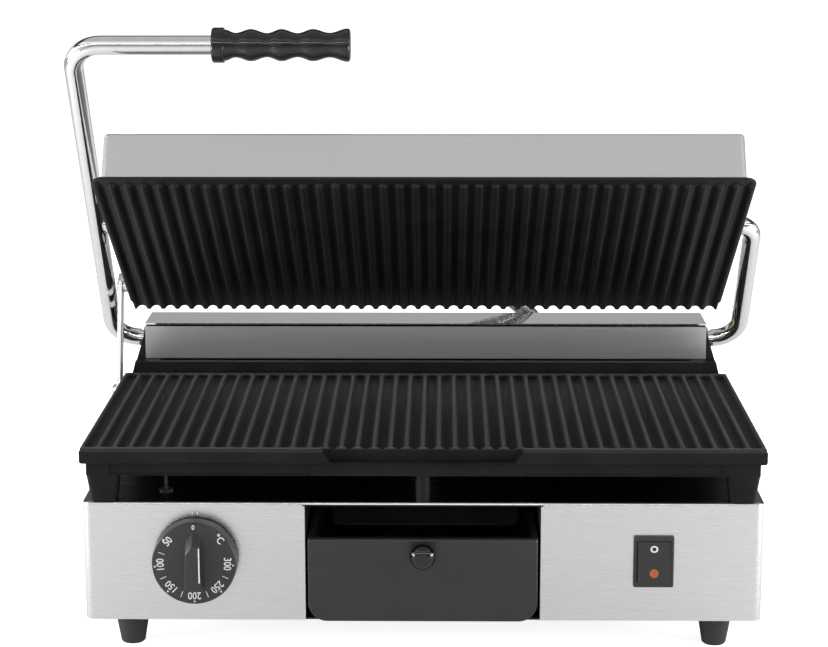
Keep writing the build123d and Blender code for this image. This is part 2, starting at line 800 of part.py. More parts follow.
rocker_low = degrees(atan2(rocker_half[1], rocker_proud + 2.3))
rocker_tip = Vector(0, *rocker_point(-rocker_low, rocker_edge))
rocker_hollow = Vector(0, *rocker_point(-8.0, 4.3))
rocker_slope = (rocker_tip - rocker_hollow).normalized()
lamp_radius = 3.2
lamp_depth = 1.5
lamp_plane = Plane(
    origin=Vector(switch_x, 0, 0) + (rocker_tip + rocker_hollow) * 0.5,
    x_dir=(1, 0, 0),
    z_dir=Vector(1, 0, 0).cross(rocker_slope) * -1,
)
with BuildPart() as rocker:
    with BuildSketch(side(switch_x - rocker_half[0])):
        with BuildLine():
            Polyline(
                rocker_point(-rocker_low, rocker_edge),
                rocker_point(-8.0, 4.3),
                rocker_point(rocker_low + rocker_travel, rocker_edge),
                rocker_point(rocker_low + rocker_travel + 14, rocker_edge),
                (rocker_axis_y + 8.0, switch_z + 4.0),
                (rocker_axis_y + 8.0, switch_z - 4.0),
                rocker_point(-rocker_low - 14, rocker_edge),
                close=True,
            )
        make_face()
    extrude(amount=2 * rocker_half[0])
    with BuildSketch(side(switch_x - switch_body_half[0])):
        with Locations((rocker_axis_y, switch_z)):
            Circle(rocker_trunnion)
    extrude(amount=2 * switch_body_half[0])
    with BuildSketch(lamp_plane):
        Circle(lamp_radius)
    extrude(amount=-lamp_depth, mode=Mode.SUBTRACT)
finish(rocker, "rocker")

with BuildPart() as switch_lamp:
    with BuildSketch(lamp_plane):
        Circle(lamp_radius)
    extrude(amount=-lamp_depth)
    with BuildSketch(lamp_plane):
        Circle(lamp_radius)
    extrude(amount=0.5, taper=35)
finish(switch_lamp, "switch_lamp")

# Terminal block and cable gland at the back
with BuildPart() as terminal_block:
    with BuildSketch(level(foot_height + sheet)):
        with Locations((gland_x - 20, housing_back_y - 45)):
            Rectangle(52, 20)
    extrude(amount=18)
    with BuildSketch(level(foot_height + sheet + 18)):
        with Locations((gland_x - 20, housing_back_y - 45)):
            with GridLocations(14, 9, 3, 2):
                Circle(2.4)
    extrude(amount=-8, mode=Mode.SUBTRACT)
finish(terminal_block, "terminal_block")

gland_bore = 4.2
gland_collar = 11.0
gland_nose = 9.5
gland_hex = 6.0
gland_reach = 24.9
with BuildPart() as cable_gland:
    with BuildSketch(front(housing_back_y)):
        with Locations((gland_x, gland_z)):
            RegularPolygon(radius=gland_collar, side_count=6)
    extrude(amount=-gland_hex)
    with BuildSketch(front(housing_back_y + gland_hex)):
        with Locations((gland_x, gland_z)):
            Circle(gland_nose)
    extrude(amount=gland_hex - gland_reach, taper=6)
    with BuildSketch(front(housing_back_y)):
        with Locations((gland_x, gland_z)):
            Circle(gland_thread)
    extrude(amount=sheet + 7)
    with BuildSketch(front(housing_back_y + gland_reach + 1)):
        with Locations((gland_x, gland_z)):
            Circle(gland_bore)
    extrude(amount=gland_reach + 20, mode=Mode.SUBTRACT)
finish(cable_gland, "cable_gland")

with BuildPart() as gland_nut:
    with BuildSketch(front(housing_back_y - sheet)):
        with Locations((gland_x, gland_z)):
            RegularPolygon(radius=gland_collar, side_count=6)
            Circle(gland_thread, mode=Mode.SUBTRACT)
    extrude(amount=4.5)
finish(gland_nut, "gland_nut")

# Hinge casting: a trough on the deck with a cheek at each end
hinge_half = plate_half - 4.4
cheek_inner_x = hinge_half - 22.0
cheek_top_z = hinge_z + 14.5
casting_front_y = plate_back_y + 3.0
casting_back_y = hinge_y + 22.9
casting_shelf_z = hinge_z - 13.7
cover_face_y = hinge_y - 19.0
casting_wall = 6.0
casting_floor = 6.0
bush_outer = 9.0
cap_half = 11.0
spring_wire = 2.4
spring_mean = 10.0
spring_pitch = 3.1
spring_turns = 6
spring_start_x = cheek_inner_x - 66.0
elbow_neck = 7.0
cheek_profile = [
    (hinge_half, deck_z),
    (hinge_half, deck_z + 36.0),
    (hinge_half - 3.0, deck_z + 48.0),
    (hinge_half - 7.0, hinge_z),
    (hinge_half - 10.8, cheek_top_z),
]
with BuildPart() as hinge_casting:
    with BuildSketch(level(deck_z)):
        with Locations((0, (casting_front_y + casting_back_y) / 2)):
            Rectangle(2 * cheek_profile[0][0], casting_back_y - casting_front_y)
    extrude(amount=casting_floor)
    with BuildSketch(level(deck_z)):
        with Locations((0, casting_front_y + casting_wall / 2)):
            Rectangle(2 * cheek_inner_x, casting_wall)
    extrude(amount=casting_shelf_z - deck_z)
    with BuildSketch(level(deck_z)):
        with Locations((0, casting_back_y - casting_wall / 2)):
            Rectangle(2 * cheek_inner_x, casting_wall)
    extrude(amount=cheek_top_z - deck_z)
    for sign in (-1, 1):
        with BuildSketch(front(cover_face_y + sheet)):
            with BuildLine():
                Polyline(
                    (sign * cheek_inner_x, deck_z),
                    *[(sign * x, z) for x, z in cheek_profile],
                    (sign * cheek_inner_x, cheek_top_z),
                    close=True,
                )
            make_face()
        extrude(amount=-(casting_back_y - cover_face_y - sheet))
        with BuildSketch(front(casting_front_y)):
            with BuildLine():
                Polyline(
                    (sign * cheek_inner_x, deck_z),
                    (sign * cheek_profile[1][0], deck_z),
                    (sign * cheek_profile[1][0], cheek_profile[1][1]),
                    (sign * (hinge_half - 2.8), casting_shelf_z),
                    (sign * cheek_inner_x, casting_shelf_z),
                    close=True,
                )
            make_face()
        extrude(amount=-(cover_face_y + sheet - casting_front_y))
    # Seats of the bushes, open at the top for the bearing caps
    with BuildSketch(side(-cheek_profile[0][0])):
        with Locations((hinge_y, hinge_z)):
            Circle(bush_outer)
        with Locations((hinge_y, (hinge_z + cheek_top_z) / 2)):
            Rectangle(2 * cap_half, cheek_top_z - hinge_z)
    extrude(amount=2 * cheek_profile[0][0], mode=Mode.SUBTRACT)
    with BuildSketch(level(deck_z)):
        with Locations(*hinge_bolt_places):
            Circle(plate_bolt_radius)
        with Locations((120, hinge_y)):
            Circle(lead_tube_radius)
    extrude(amount=casting_floor, mode=Mode.SUBTRACT)
    # Way out for the lid's wiring
    with BuildSketch(front(casting_back_y)):
        with Locations((conduit_low_x, conduit_low_z)):
            Circle(elbow_neck)
    extrude(amount=casting_wall, mode=Mode.SUBTRACT)
    # Hole that holds the spring's still end
    with BuildSketch(front(casting_back_y)):
        with Locations((spring_start_x, hinge_z - spring_mean)):
            Circle(spring_wire / 2)
    extrude(amount=casting_wall, mode=Mode.SUBTRACT)
finish(hinge_casting, "hinge_casting")

with BuildPart() as hinge_bolts:
    with BuildSketch(level(deck_z - sheet - bolt_head)):
        with Locations(*hinge_bolt_places):
            RegularPolygon(radius=bolt_head_radius, side_count=6)
    extrude(amount=bolt_head)
    with BuildSketch(level(deck_z - sheet)):
        with Locations(*hinge_bolt_places):
            Circle(plate_bolt_radius)
    extrude(amount=sheet + casting_floor + 6)
    with BuildSketch(level(deck_z + casting_floor)):
        with Locations(*hinge_bolt_places):
            RegularPolygon(radius=bolt_head_radius, side_count=6)
    extrude(amount=4.5)
finish(hinge_bolts, "hinge_bolts")

bush_length = 15.0
with BuildPart() as hinge_bushes:
    for start_x in (-cheek_inner_x - bush_length, cheek_inner_x):
        with BuildSketch(side(start_x)):
            with Locations((hinge_y, hinge_z)):
                Circle(bush_outer)
                Circle(shaft_radius + running, mode=Mode.SUBTRACT)
        extrude(amount=bush_length)
finish(hinge_bushes, "hinge_bushes")

cap_thick = 11.0
with BuildPart() as bearing_caps:
    for start_x in (-cheek_inner_x - cap_thick, cheek_inner_x):
        with BuildSketch(side(start_x)):
            with Locations((hinge_y, (hinge_z + cheek_top_z) / 2)):
                Rectangle(2 * cap_half, cheek_top_z - hinge_z)
            with Locations((hinge_y, hinge_z)):
                Circle(bush_outer, mode=Mode.SUBTRACT)
        extrude(amount=cap_thick)
finish(bearing_caps, "bearing_caps")

# Steel covers of the hinge box, with a shadow gap between face and top
cover_half_hinge = hinge_half - 10.0
face_top_z = cheek_top_z - 1.4
with BuildPart() as hinge_face:
    with BuildSketch(front(cover_face_y + sheet)):
        with Locations((0, (casting_shelf_z + 0.4 + face_top_z) / 2)):
            Rectangle(2 * cover_half_hinge, face_top_z - casting_shelf_z - 0.4)
    extrude(amount=sheet)
finish(hinge_face, "hinge_face")

with BuildPart() as hinge_top:
    with BuildSketch(side(-cover_half_hinge)):
        with BuildLine():
            Polyline(
                (cover_face_y, cheek_top_z),
                (casting_back_y, cheek_top_z),
                (casting_back_y, casting_shelf_z - 14),
                (casting_back_y + sheet, casting_shelf_z - 14),
                (casting_back_y + sheet, cheek_top_z + sheet),
                (cover_face_y, cheek_top_z + sheet),
                close=True,
            )
        make_face()
    extrude(amount=2 * cover_half_hinge)
    fillet(hinge_top.edges().filter_by(Axis.X).sort_by(Axis.Z)[-1:], radius=0.5)
    with BuildSketch(front(casting_back_y + sheet)):
        with Locations((conduit_low_x, conduit_low_z)):
            Circle(elbow_neck)
    extrude(amount=sheet, mode=Mode.SUBTRACT)
finish(hinge_top, "hinge_top")

with BuildPart() as hinge_cover_screws:
    with BuildSketch(front(casting_back_y + sheet)):
        with Locations(*[(x, hinge_z - 6.7) for x in (-150, 0, 150)]):
            Circle(3.5)
    extrude(amount=-2.2)
    fillet(hinge_cover_screws.faces().sort_by(Axis.Y)[-1:].edges(), radius=1.0)
finish(hinge_cover_screws, "hinge_cover_screws")


def join_biarcs(places, headings):
    """Smooth run of arcs through the places, two arcs between each pair, with the given headings."""
    for begin, end, leave, arrive in zip(places, places[1:], headings, headings[1:]):
        span = end - begin
        turn = 2 * (1 - leave.dot(arrive))
        reach = span.dot(leave + arrive)
        if turn < 1e-9:
            handle = span.dot(span) / (2 * reach)
        else:
            handle = (-reach + (reach**2 + turn * span.dot(span)) ** 0.5) / turn
        near = begin + leave * handle
        far = end - arrive * handle
        middle = (near + far) * 0.5
        TangentArc(begin, middle, tangent=leave)
        TangentArc(middle, end, tangent=(far - near).normalized())


# Torsion spring round the hinge shaft, which carries part of the lid's weight
def spring_place(turns):
    """A point on the spring's centre line after this many turns, counted from the bottom."""
    angle = 2 * pi * turns
    return Vector(
        spring_start_x + spring_pitch * turns,
        hinge_y - spring_mean * sin(angle),
        hinge_z - spring_mean * cos(angle),
    )


def spring_heading(turns):
    """Direction of the spring's wire after this many turns."""
    angle = 2 * pi * turns
    rate = 2 * pi * spring_mean
    return Vector(spring_pitch, -rate * cos(angle), rate * sin(angle)).normalized()


spring_tail = 5.0
spring_steps = [0.5 * step for step in range(2 * spring_turns + 1)]
spring_places = [spring_place(turns) for turns in spring_steps]
spring_headings = [spring_heading(turns) for turns in spring_steps]
spring_foot = spring_places[0] + Vector(0, 2.0, 0)
spring_hook = spring_places[-1] + spring_headings[-1] * spring_tail + Vector(spring_tail, 0, 0)
collar_start_x = spring_hook.X + touch_gap
collar_width = 10.0
with BuildPart() as counterbalance_spring:
    with BuildLine() as spring_line:
        Line(spring_foot + Vector(0, casting_back_y - 1.0 - spring_foot.Y, 0), spring_foot)
        join_biarcs(
            [spring_foot] + spring_places[1:] + [spring_hook],
            [Vector(0, -1, 0)] + spring_headings[1:] + [Vector(1, 0, 0)],
        )
        Line(spring_hook, spring_hook + Vector(collar_width * 0.7, 0, 0))
    with BuildSketch(Plane(origin=spring_line.line @ 0, z_dir=spring_line.line % 0)):
        Circle(spring_wire / 2)
    sweep()
finish(counterbalance_spring, "counterbalance_spring")
print("spring gap between turns", round(spring_pitch - spring_wire, 2))

collar_radius = 14.5
with BuildPart() as spring_collar:
    with BuildSketch(side(collar_start_x)):
        with Locations((hinge_y, hinge_z)):
            Circle(collar_radius)
            Circle(shaft_radius, mode=Mode.SUBTRACT)
        with Locations((spring_hook.Y, spring_hook.Z)):
            Circle(spring_wire / 2 + touch_gap, mode=Mode.SUBTRACT)
    extrude(amount=collar_width)
finish(spring_collar, "spring_collar")

# Bail: one bent bar with turned ends, from the right pivot round the hinge to the grip
journal_radius = 5.0
bend_lead = 0.5
journal_end_x = cover_half - 0.5
shoulder_x = bail_half - pivot_bend - bend_lead
shaft_half = bail_half - bail_bend - bend_lead
pin_seat = 5.2
pin_seat_half = 7.0
pin_tenon_radius = 3.0
pin_tenon = 7.0
grip_rod_end_x = grip_start_x + grip_length - 5.0


def across_bail(x):
    """Plane square to the hinge, sketched in reach and height over the bail; extrudes right."""
    return Plane(origin=hinge_point + Vector(x, 0, 0), x_dir=bail_dir, z_dir=(1, 0, 0))


with BuildPart() as bail:
    with BuildLine(bail_plane) as right_line:
        FilletPolyline(
            (shoulder_x, pivot_reach),
            (bail_half, pivot_reach),
            (bail_half, 0),
            (shaft_half, 0),
            radius=[pivot_bend, bail_bend],
        )
    with BuildSketch(Plane(origin=right_line.line @ 0, z_dir=right_line.line % 0)):
        Circle(bail_radius)
    sweep(path=right_line.line)
    with BuildLine(bail_plane) as left_line:
        FilletPolyline(
            (-shaft_half, 0),
            (-bail_half, 0),
            (-bail_half, grip_reach),
            (grip_start_x, grip_reach),
            radius=bail_bend,
        )
    with BuildSketch(Plane(origin=left_line.line @ 0, z_dir=left_line.line % 0)):
        Circle(bail_radius)
    sweep(path=left_line.line)
    with BuildSketch(across_bail(-shaft_half)):
        Circle(shaft_radius)
    extrude(amount=2 * shaft_half)
    with BuildSketch(across_bail(journal_end_x)):
        with Locations((pivot_reach, 0)):
            Circle(journal_radius)
    extrude(amount=shoulder_x - journal_end_x)
    with BuildSketch(across_bail(grip_start_x)):
        with Locations((grip_reach, 0)):
            Circle(journal_radius)
    extrude(amount=grip_rod_end_x - grip_start_x)
    # Seat of the left pivot pin
    with BuildSketch(across_bail(-bail_half + pin_seat)):
        with Locations((pivot_reach, 0)):
            Rectangle(2 * pin_seat_half, 2 * bail_radius)
    extrude(amount=bail_radius, mode=Mode.SUBTRACT)
    with BuildSketch(across_bail(-bail_half + pin_seat)):
        with Locations((pivot_reach, 0)):
            Circle(pin_tenon_radius)
    extrude(amount=-pin_tenon, mode=Mode.SUBTRACT)
finish(bail, "bail")

ear_inner_x = cover_half
ear_thick = 3.0
ear_boss = 5.9
ear_end_x = ear_inner_x + ear_thick + ear_boss
washer_thick = 1.6
washer_radius = 5.5
pin_seat_x = -bail_half + pin_seat
with BuildPart() as pivot_pin:
    with BuildSketch(across_bail(pin_seat_x - pin_tenon)):
        with Locations((pivot_reach, 0)):
            Circle(pin_tenon_radius)
    extrude(amount=pin_tenon + washer_thick)
    with BuildSketch(across_bail(pin_seat_x + washer_thick)):
        with Locations((pivot_reach, 0)):
            Circle(journal_radius)
    extrude(amount=-journal_end_x - pin_seat_x - washer_thick)
finish(pivot_pin, "pivot_pin")

with BuildPart() as pivot_washer:
    with BuildSketch(across_bail(pin_seat_x)):
        with Locations((pivot_reach, 0)):
            Circle(washer_radius)
            Circle(pin_tenon_radius, mode=Mode.SUBTRACT)
    extrude(amount=washer_thick)
finish(pivot_washer, "pivot_washer")

sleeve_radius = 6.6
with BuildPart() as pivot_sleeve:
    with BuildSketch(across_bail(pin_seat_x + washer_thick)):
        with Locations((pivot_reach, 0)):
            Circle(sleeve_radius)
            Circle(journal_radius, mode=Mode.SUBTRACT)
    extrude(amount=-ear_end_x - touch_gap - pin_seat_x - washer_thick)
finish(pivot_sleeve, "pivot_sleeve")

# Grip with finger waves, flared at both ends
grip_collar = 12.7
grip_collar_length = 10.3
grip_valley = 8.7
grip_bulge = 11.6
grip_flare = 12.0
grip_round = 4.5
grip_round_off = grip_round * (1 - cos(radians(45)))
with BuildPart() as grip:
    with BuildSketch(bail_plane):
        with BuildLine():
            collar = Polyline(
                (grip_start_x, grip_reach + journal_radius),
                (grip_start_x, grip_reach + grip_collar - 1.2),
                (grip_start_x + 1.2, grip_reach + grip_collar),
                (grip_start_x + grip_collar_length - 1.5, grip_reach + grip_collar),
            )
            waves = Spline(
                collar @ 1,
                (grip_start_x + 16.9, grip_reach + grip_valley),
                (grip_start_x + 27.9, grip_reach + grip_bulge),
                (grip_start_x + 39.5, grip_reach + grip_valley),
                (grip_start_x + 49.7, grip_reach + grip_bulge),
                (grip_start_x + 61.4, grip_reach + grip_valley),
                (grip_start_x + 72.3, grip_reach + grip_bulge),
                (grip_start_x + 84.4, grip_reach + grip_valley + 0.2),
                (grip_start_x + grip_length - grip_round, grip_reach + grip_flare),
                tangents=[(1, -0.25), (1, 0.25)],
            )
            tip = ThreePointArc(
                waves @ 1,
                (grip_start_x + grip_length - grip_round_off, grip_reach + grip_flare - grip_round_off),
                (grip_start_x + grip_length, grip_reach + grip_flare - grip_round),
            )
            Polyline(
                tip @ 1,
                (grip_start_x + grip_length, grip_reach),
                (grip_rod_end_x, grip_reach),
                (grip_rod_end_x, grip_reach + journal_radius),
                collar @ 0,
            )
        make_face()
    revolve(axis=Axis(hinge_point + bail_dir * grip_reach, (1, 0, 0)))
finish(grip, "grip")

# Upper plate: a second ribbed casting, hung between the pivots
rib_block_half = (upper_ribs - 1) / 2 * rib_pitch + rib_land / 2
flange_base = groove_depth
body_base = groove_depth + flange_thick
body_half = flange_half - 10.5
body_margin = 2.0
body_back = rib_length - 6.0
pad_half = cover_half - sheet
pad_top = 20.0
pad_depth = 20.0
ear_half = 26.0
ear_screw_radius = 2.5
ear_screw_above = 13.4
ear_screw_reach = 18.0
rib_nose = 3.0
upper_axis = Axis((0, 0, 0), above_dir)
ear_screw_places = [(pivot_along + offset, ear_screw_above) for offset in (-ear_screw_reach, ear_screw_reach)]


def lid_front(along):
    """Plane square to the upper ribs, sketched in x and above; extrudes towards the lid's front."""
    return Plane(origin=lid_point(0, along, 0), x_dir=(1, 0, 0), z_dir=along_dir * -1)


with BuildPart() as upper_plate:
    with BuildSketch(lid_level(flange_base)) as flange_sketch:
        with Locations((0, (rib_length - rim_width) / 2)):
            Rectangle(2 * flange_half, rib_length + rim_width)
        fillet(flange_sketch.vertices().group_by(Axis.Y)[0], radius=4.0)
        fillet(flange_sketch.vertices().group_by(Axis.Y)[-1], radius=10.0)
    extrude(amount=flange_thick)
    # Rib block with rounded front ends
    with BuildSketch(lid_side(-rib_block_half)):
        with BuildLine():
            bottom = Line((rib_length, 0), (rib_nose, 0))
            nose = TangentArc(bottom @ 1, (0, groove_depth), tangent=(-1, 0))
            Polyline(nose @ 1, (rib_length, groove_depth), bottom @ 0)
        make_face()
    extrude(amount=2 * rib_block_half)
    with BuildSketch(lid_front(-0.5)):
        with Locations((0, groove_depth - groove_radius)):
            with GridLocations(rib_pitch, 0, upper_ribs - 1, 1):
                Circle(groove_radius)
    extrude(amount=-(rib_length + 0.5), mode=Mode.SUBTRACT)
    with BuildSketch(lid_level(body_base)) as body_sketch:
        with Locations((0, (body_margin + body_back) / 2)):
            Rectangle(2 * body_half, body_back - body_margin)
        fillet(body_sketch.vertices(), radius=8.0)
    extrude(amount=casting_top - body_base)
    # Pads for the ears and for the stay's pin
    with BuildSketch(lid_level(body_base)):
        for sign in (-1, 1):
            with Locations((sign * (pad_half - pad_depth / 2), pivot_along)):
                Rectangle(pad_depth, 2 * ear_half)
    extrude(amount=pad_top - body_base)
    with BuildSketch(lid_level(body_base)):
        with Locations((-pad_half + pad_depth / 2, stay_pin_along)):
            Rectangle(pad_depth, 18)
    extrude(amount=casting_top + 2.0 - body_base)
    for start_x, way in ((-pad_half, 1), (pad_half, -1)):
        with BuildSketch(lid_side(start_x)):
            with Locations(*ear_screw_places):
                Circle(ear_screw_radius)
        extrude(amount=way * (pad_depth - 6), mode=Mode.SUBTRACT)
    with BuildSketch(lid_side(-pad_half)):
        with Locations((stay_pin_along, stay_pin_above)):
            Circle(stay_pin_radius)
    extrude(amount=pad_depth - 6, mode=Mode.SUBTRACT)
finish(upper_plate, "upper_plate")

upper_element_above = casting_top + element_radius + seat_gap
with BuildPart() as upper_element:
    with BuildLine(lid_level(upper_element_above)) as upper_element_line:
        FilletPolyline(*element_points(-rib_front_y), radius=element_bend)
    with BuildSketch(Plane(origin=upper_element_line.line @ 0, z_dir=upper_element_line.line % 0)):
        Circle(element_radius)
    sweep()
finish(upper_element, "upper_element")

upper_clamp_above = upper_element_above + element_radius
upper_clamp_places = [(x, y - rib_front_y) for x, y in clamp_places]
with BuildPart() as upper_clamps:
    with BuildSketch(lid_level(upper_clamp_above)):
        with Locations(*upper_clamp_places):
            Rectangle(98, clamp_width)
    extrude(amount=1.5)
    with BuildSketch(lid_level(casting_top)):
        with Locations(*upper_clamp_places):
            Circle(5.0)
    extrude(amount=upper_clamp_above - casting_top)
finish(upper_clamps, "upper_clamps")

insulation_base = upper_clamp_above + 1.5 + touch_gap
insulation_front = 4.0
insulation_back = conduit_high_along - 11.0
with BuildPart() as lid_insulation:
    with BuildSketch(lid_level(insulation_base)):
        with Locations((0, (insulation_front + insulation_back) / 2)):
            Rectangle(2 * (cover_half - 9), insulation_back - insulation_front)
    extrude(amount=cover_top - sheet - insulation_base)
finish(lid_insulation, "lid_insulation")

# Steel cover of the upper plate, a shell open at its underside
cover_corner = 4.0
cover_edge = 2.2
pivot_clear = 0.5
with BuildPart() as lid_cover:
    with BuildSketch(lid_level(body_base)):
        with Locations((0, (cover_back - cover_overhang) / 2)):
            RectangleRounded(2 * cover_half, cover_back + cover_overhang, cover_corner)
    extrude(amount=cover_top - body_base)
    fillet(lid_cover.faces().sort_by(upper_axis)[-1].edges(), radius=cover_edge)
    with BuildSketch(lid_level(body_base)):
        with Locations((0, (cover_back - cover_overhang) / 2)):
            RectangleRounded(
                2 * (cover_half - sheet),
                cover_back + cover_overhang - 2 * sheet,
                cover_corner - sheet,
            )
    extrude(amount=cover_top - body_base - sheet, mode=Mode.SUBTRACT)
    for start_x, way in ((-cover_half, 1), (cover_half, -1)):
        with BuildSketch(lid_side(start_x)):
            with Locations((pivot_along, pivot_above)):
                Circle(journal_radius + pivot_clear)
            with Locations(*ear_screw_places):
                Circle(ear_screw_radius)
        extrude(amount=way * sheet, mode=Mode.SUBTRACT)
    with BuildSketch(lid_side(-cover_half)):
        with Locations((stay_pin_along, stay_pin_above)):
            Circle(stay_pin_radius)
    extrude(amount=sheet, mode=Mode.SUBTRACT)
    with BuildSketch(lid_level(cover_top - sheet)):
        with Locations((conduit_high_x, conduit_high_along)):
            Circle(elbow_neck)
    extrude(amount=sheet, mode=Mode.SUBTRACT)
finish(lid_cover, "lid_cover")

# Ears on the cover's sides, with the bores that turn on the bail
ear_base = 8.4
ear_lobe = 11.0
ear_boss_radius = 10.0
for name, start_x, way in (("ear_left", -ear_inner_x, -1), ("ear_right", ear_inner_x, 1)):
    with BuildPart() as ear:
        with BuildSketch(lid_side(start_x)):
            with Locations((pivot_along, ear_base + 5)):
                Rectangle(2 * ear_half, 10)
            with Locations((pivot_along, pivot_above)):
                Circle(ear_lobe)
            make_hull()
            with Locations(*ear_screw_places):
                Circle(ear_screw_radius, mode=Mode.SUBTRACT)
        extrude(amount=way * ear_thick)
        with BuildSketch(lid_side(start_x)):
            with Locations((pivot_along, pivot_above)):
                Circle(ear_boss_radius)
        extrude(amount=way * (ear_thick + ear_boss))
        with BuildSketch(lid_side(start_x)):
            with Locations((pivot_along, pivot_above)):
                Circle(journal_radius + running)
        extrude(amount=way * (ear_thick + ear_boss), mode=Mode.SUBTRACT)
    finish(ear, name)

ear_screw_head = 2.2
with BuildPart() as ear_screws:
    for start_x, way in ((-ear_inner_x - ear_thick, 1), (ear_inner_x + ear_thick, -1)):
        with BuildSketch(lid_side(start_x)):
            with Locations(*ear_screw_places):
                Circle(ear_screw_radius)
        extrude(amount=way * (ear_thick + sheet + pad_depth - 8))
        with BuildSketch(lid_side(start_x)):
            with Locations(*ear_screw_places):
                Circle(4.3)
        extrude(amount=-way * ear_screw_head)
finish(ear_screws, "ear_screws")

# Stay: a slotted strap on the left, between the lower plate and a pin at the back of the lid
stay_outer_x = stay_inner_x - stay_thick
stay_head_x = stay_outer_x - touch_gap
stay_shoulder = 3.0
stay_dir = Vector(0, cos(radians(stay_open_angle)), sin(radians(stay_open_angle)))
slot_start = stay_closed_reach
slot_end = stay_open_reach
slot_half = stay_pin_radius + stay_clear


def stay_level(x):
    """Plane along the strap, sketched in reach from its bolt and across; extrudes right."""
    return Plane(origin=(x, stay_y, stay_z), x_dir=stay_dir, z_dir=(1, 0, 0))


with BuildPart() as stay_strap:
    with BuildSketch(stay_level(stay_outer_x)):
        with Locations(((slot_end + slot_half) / 2, 0)):
            SlotCenterToCenter(slot_end + slot_half, stay_width)
        with Locations(((slot_start + slot_end) / 2, 0)):
            SlotCenterToCenter(slot_end - slot_start, 2 * slot_half, mode=Mode.SUBTRACT)
        Circle(stay_shoulder + running, mode=Mode.SUBTRACT)
    extrude(amount=stay_thick)
finish(stay_strap, "stay_strap")

stay_head_radius = 4.6
stay_head = 4.4
with BuildPart() as stay_bolt:
    with BuildSketch(stay_level(-plate_half)):
        Circle(stay_pin_radius)
    extrude(amount=skirt_wall)
    with BuildSketch(stay_level(-plate_half)):
        Circle(stay_shoulder)
    extrude(amount=stay_head_x + plate_half)
    with BuildSketch(Plane(origin=(stay_head_x, stay_y, stay_z), x_dir=(-1, 0, 0), z_dir=(0, 1, 0))):
        with BuildLine():
            dome = ThreePointArc((0, stay_head_radius), (2.8, 3.6), (stay_head, 1.2))
            Polyline(dome @ 1, (stay_head, 0), (0, 0), dome @ 0)
        make_face()
    revolve(axis=Axis((stay_head_x, stay_y, stay_z), (1, 0, 0)))
finish(stay_bolt, "stay_bolt")

with BuildPart() as stay_washer:
    with BuildSketch(stay_level(-plate_half)):
        Circle(stay_width / 2 - 1.0)
        Circle(stay_shoulder, mode=Mode.SUBTRACT)
    extrude(amount=stay_inner_x + touch_gap + plate_half)
finish(stay_washer, "stay_washer")

stay_spacer = 4.5
stay_pin_head = 1.1
with BuildPart() as stay_pin:
    with BuildSketch(lid_side(stay_head_x)):
        with Locations((stay_pin_along, stay_pin_above)):
            Circle(stay_pin_radius)
    extrude(amount=-stay_head_x - pad_half + pad_depth - 8)
    with BuildSketch(lid_side(-cover_half)):
        with Locations((stay_pin_along, stay_pin_above)):
            Circle(stay_spacer)
    extrude(amount=stay_inner_x + touch_gap + cover_half)
    with BuildSketch(lid_side(stay_head_x)):
        with Locations((stay_pin_along, stay_pin_above)):
            Circle(stay_spacer)
    extrude(amount=-stay_pin_head)
finish(stay_pin, "stay_pin")

# Elbows for the lid's wiring, one on the cover's top and one on the back of the hinge box
elbow_hex = 3.0
elbow_hex_radius = 11.0
elbow_radius = 8.5
elbow_tube = 8.1
elbow_ball = 9.0
elbow_stem_bore = 5.0
elbow_exit = 14.0
elbow_above = cover_top + elbow_hex + elbow_radius
elbow_back_y = casting_back_y + sheet
lid_elbow_place = lid_point(conduit_high_x, conduit_high_along, elbow_above)
box_elbow_place = Vector(conduit_low_x, elbow_back_y + elbow_hex + elbow_radius, conduit_low_z)
conduit_rise = Vector(-sin(radians(conduit_lean)), 0, cos(radians(conduit_lean)))


def elbow_base(place, outward, offset):
    """Plane across an elbow's stem, at this offset from the sheet that it stands on."""
    return Plane(origin=place + outward * (offset - elbow_hex - elbow_radius), z_dir=outward)


for name, place, outward, exit_dir in (
    ("lid_elbow", lid_elbow_place, above_dir, along_dir),
    ("box_elbow", box_elbow_place, Vector(0, 1, 0), conduit_rise),
):
    with BuildPart() as elbow:
        with BuildSketch(elbow_base(place, outward, -sheet)):
            Circle(elbow_neck)
        extrude(amount=sheet)
        with BuildSketch(elbow_base(place, outward, 0)):
            RegularPolygon(radius=elbow_hex_radius, side_count=6)
        extrude(amount=elbow_hex)
        with BuildSketch(elbow_base(place, outward, 0)):
            Circle(elbow_radius)
        extrude(amount=elbow_hex + elbow_radius)
        with BuildSketch(Plane(origin=place, z_dir=exit_dir)):
            Circle(elbow_tube)
        extrude(amount=elbow_exit)
        with BuildSketch(Plane(origin=place, x_dir=outward, z_dir=exit_dir.cross(outward))):
            with BuildLine():
                ball = CenterArc((0, 0), elbow_ball, 0, 180)
                Line(ball @ 1, ball @ 0)
            make_face()
        revolve(axis=Axis(place, outward))
        with BuildSketch(Plane(origin=place, z_dir=exit_dir)):
            Circle(conduit_bore)
        extrude(amount=elbow_exit, mode=Mode.SUBTRACT)
        with BuildSketch(elbow_base(place, outward, -sheet)):
            Circle(elbow_stem_bore)
        extrude(amount=sheet + elbow_hex + elbow_radius, mode=Mode.SUBTRACT)
    finish(elbow, name)

# Ribbed conduit between the elbows: a straight end at each, and one free bend
conduit_top_handle = 70.0
conduit_foot_handle = 30.0
conduit_straight = 2 * conduit_radius
conduit_top = lid_elbow_place + along_dir * elbow_exit
conduit_foot = box_elbow_place + conduit_rise * elbow_exit
bend_corners = [
    conduit_foot + conduit_rise * conduit_straight,
    conduit_foot + conduit_rise * (conduit_straight + conduit_foot_handle),
    conduit_top + along_dir * (conduit_straight + conduit_top_handle),
    conduit_top + along_dir * conduit_straight,
]


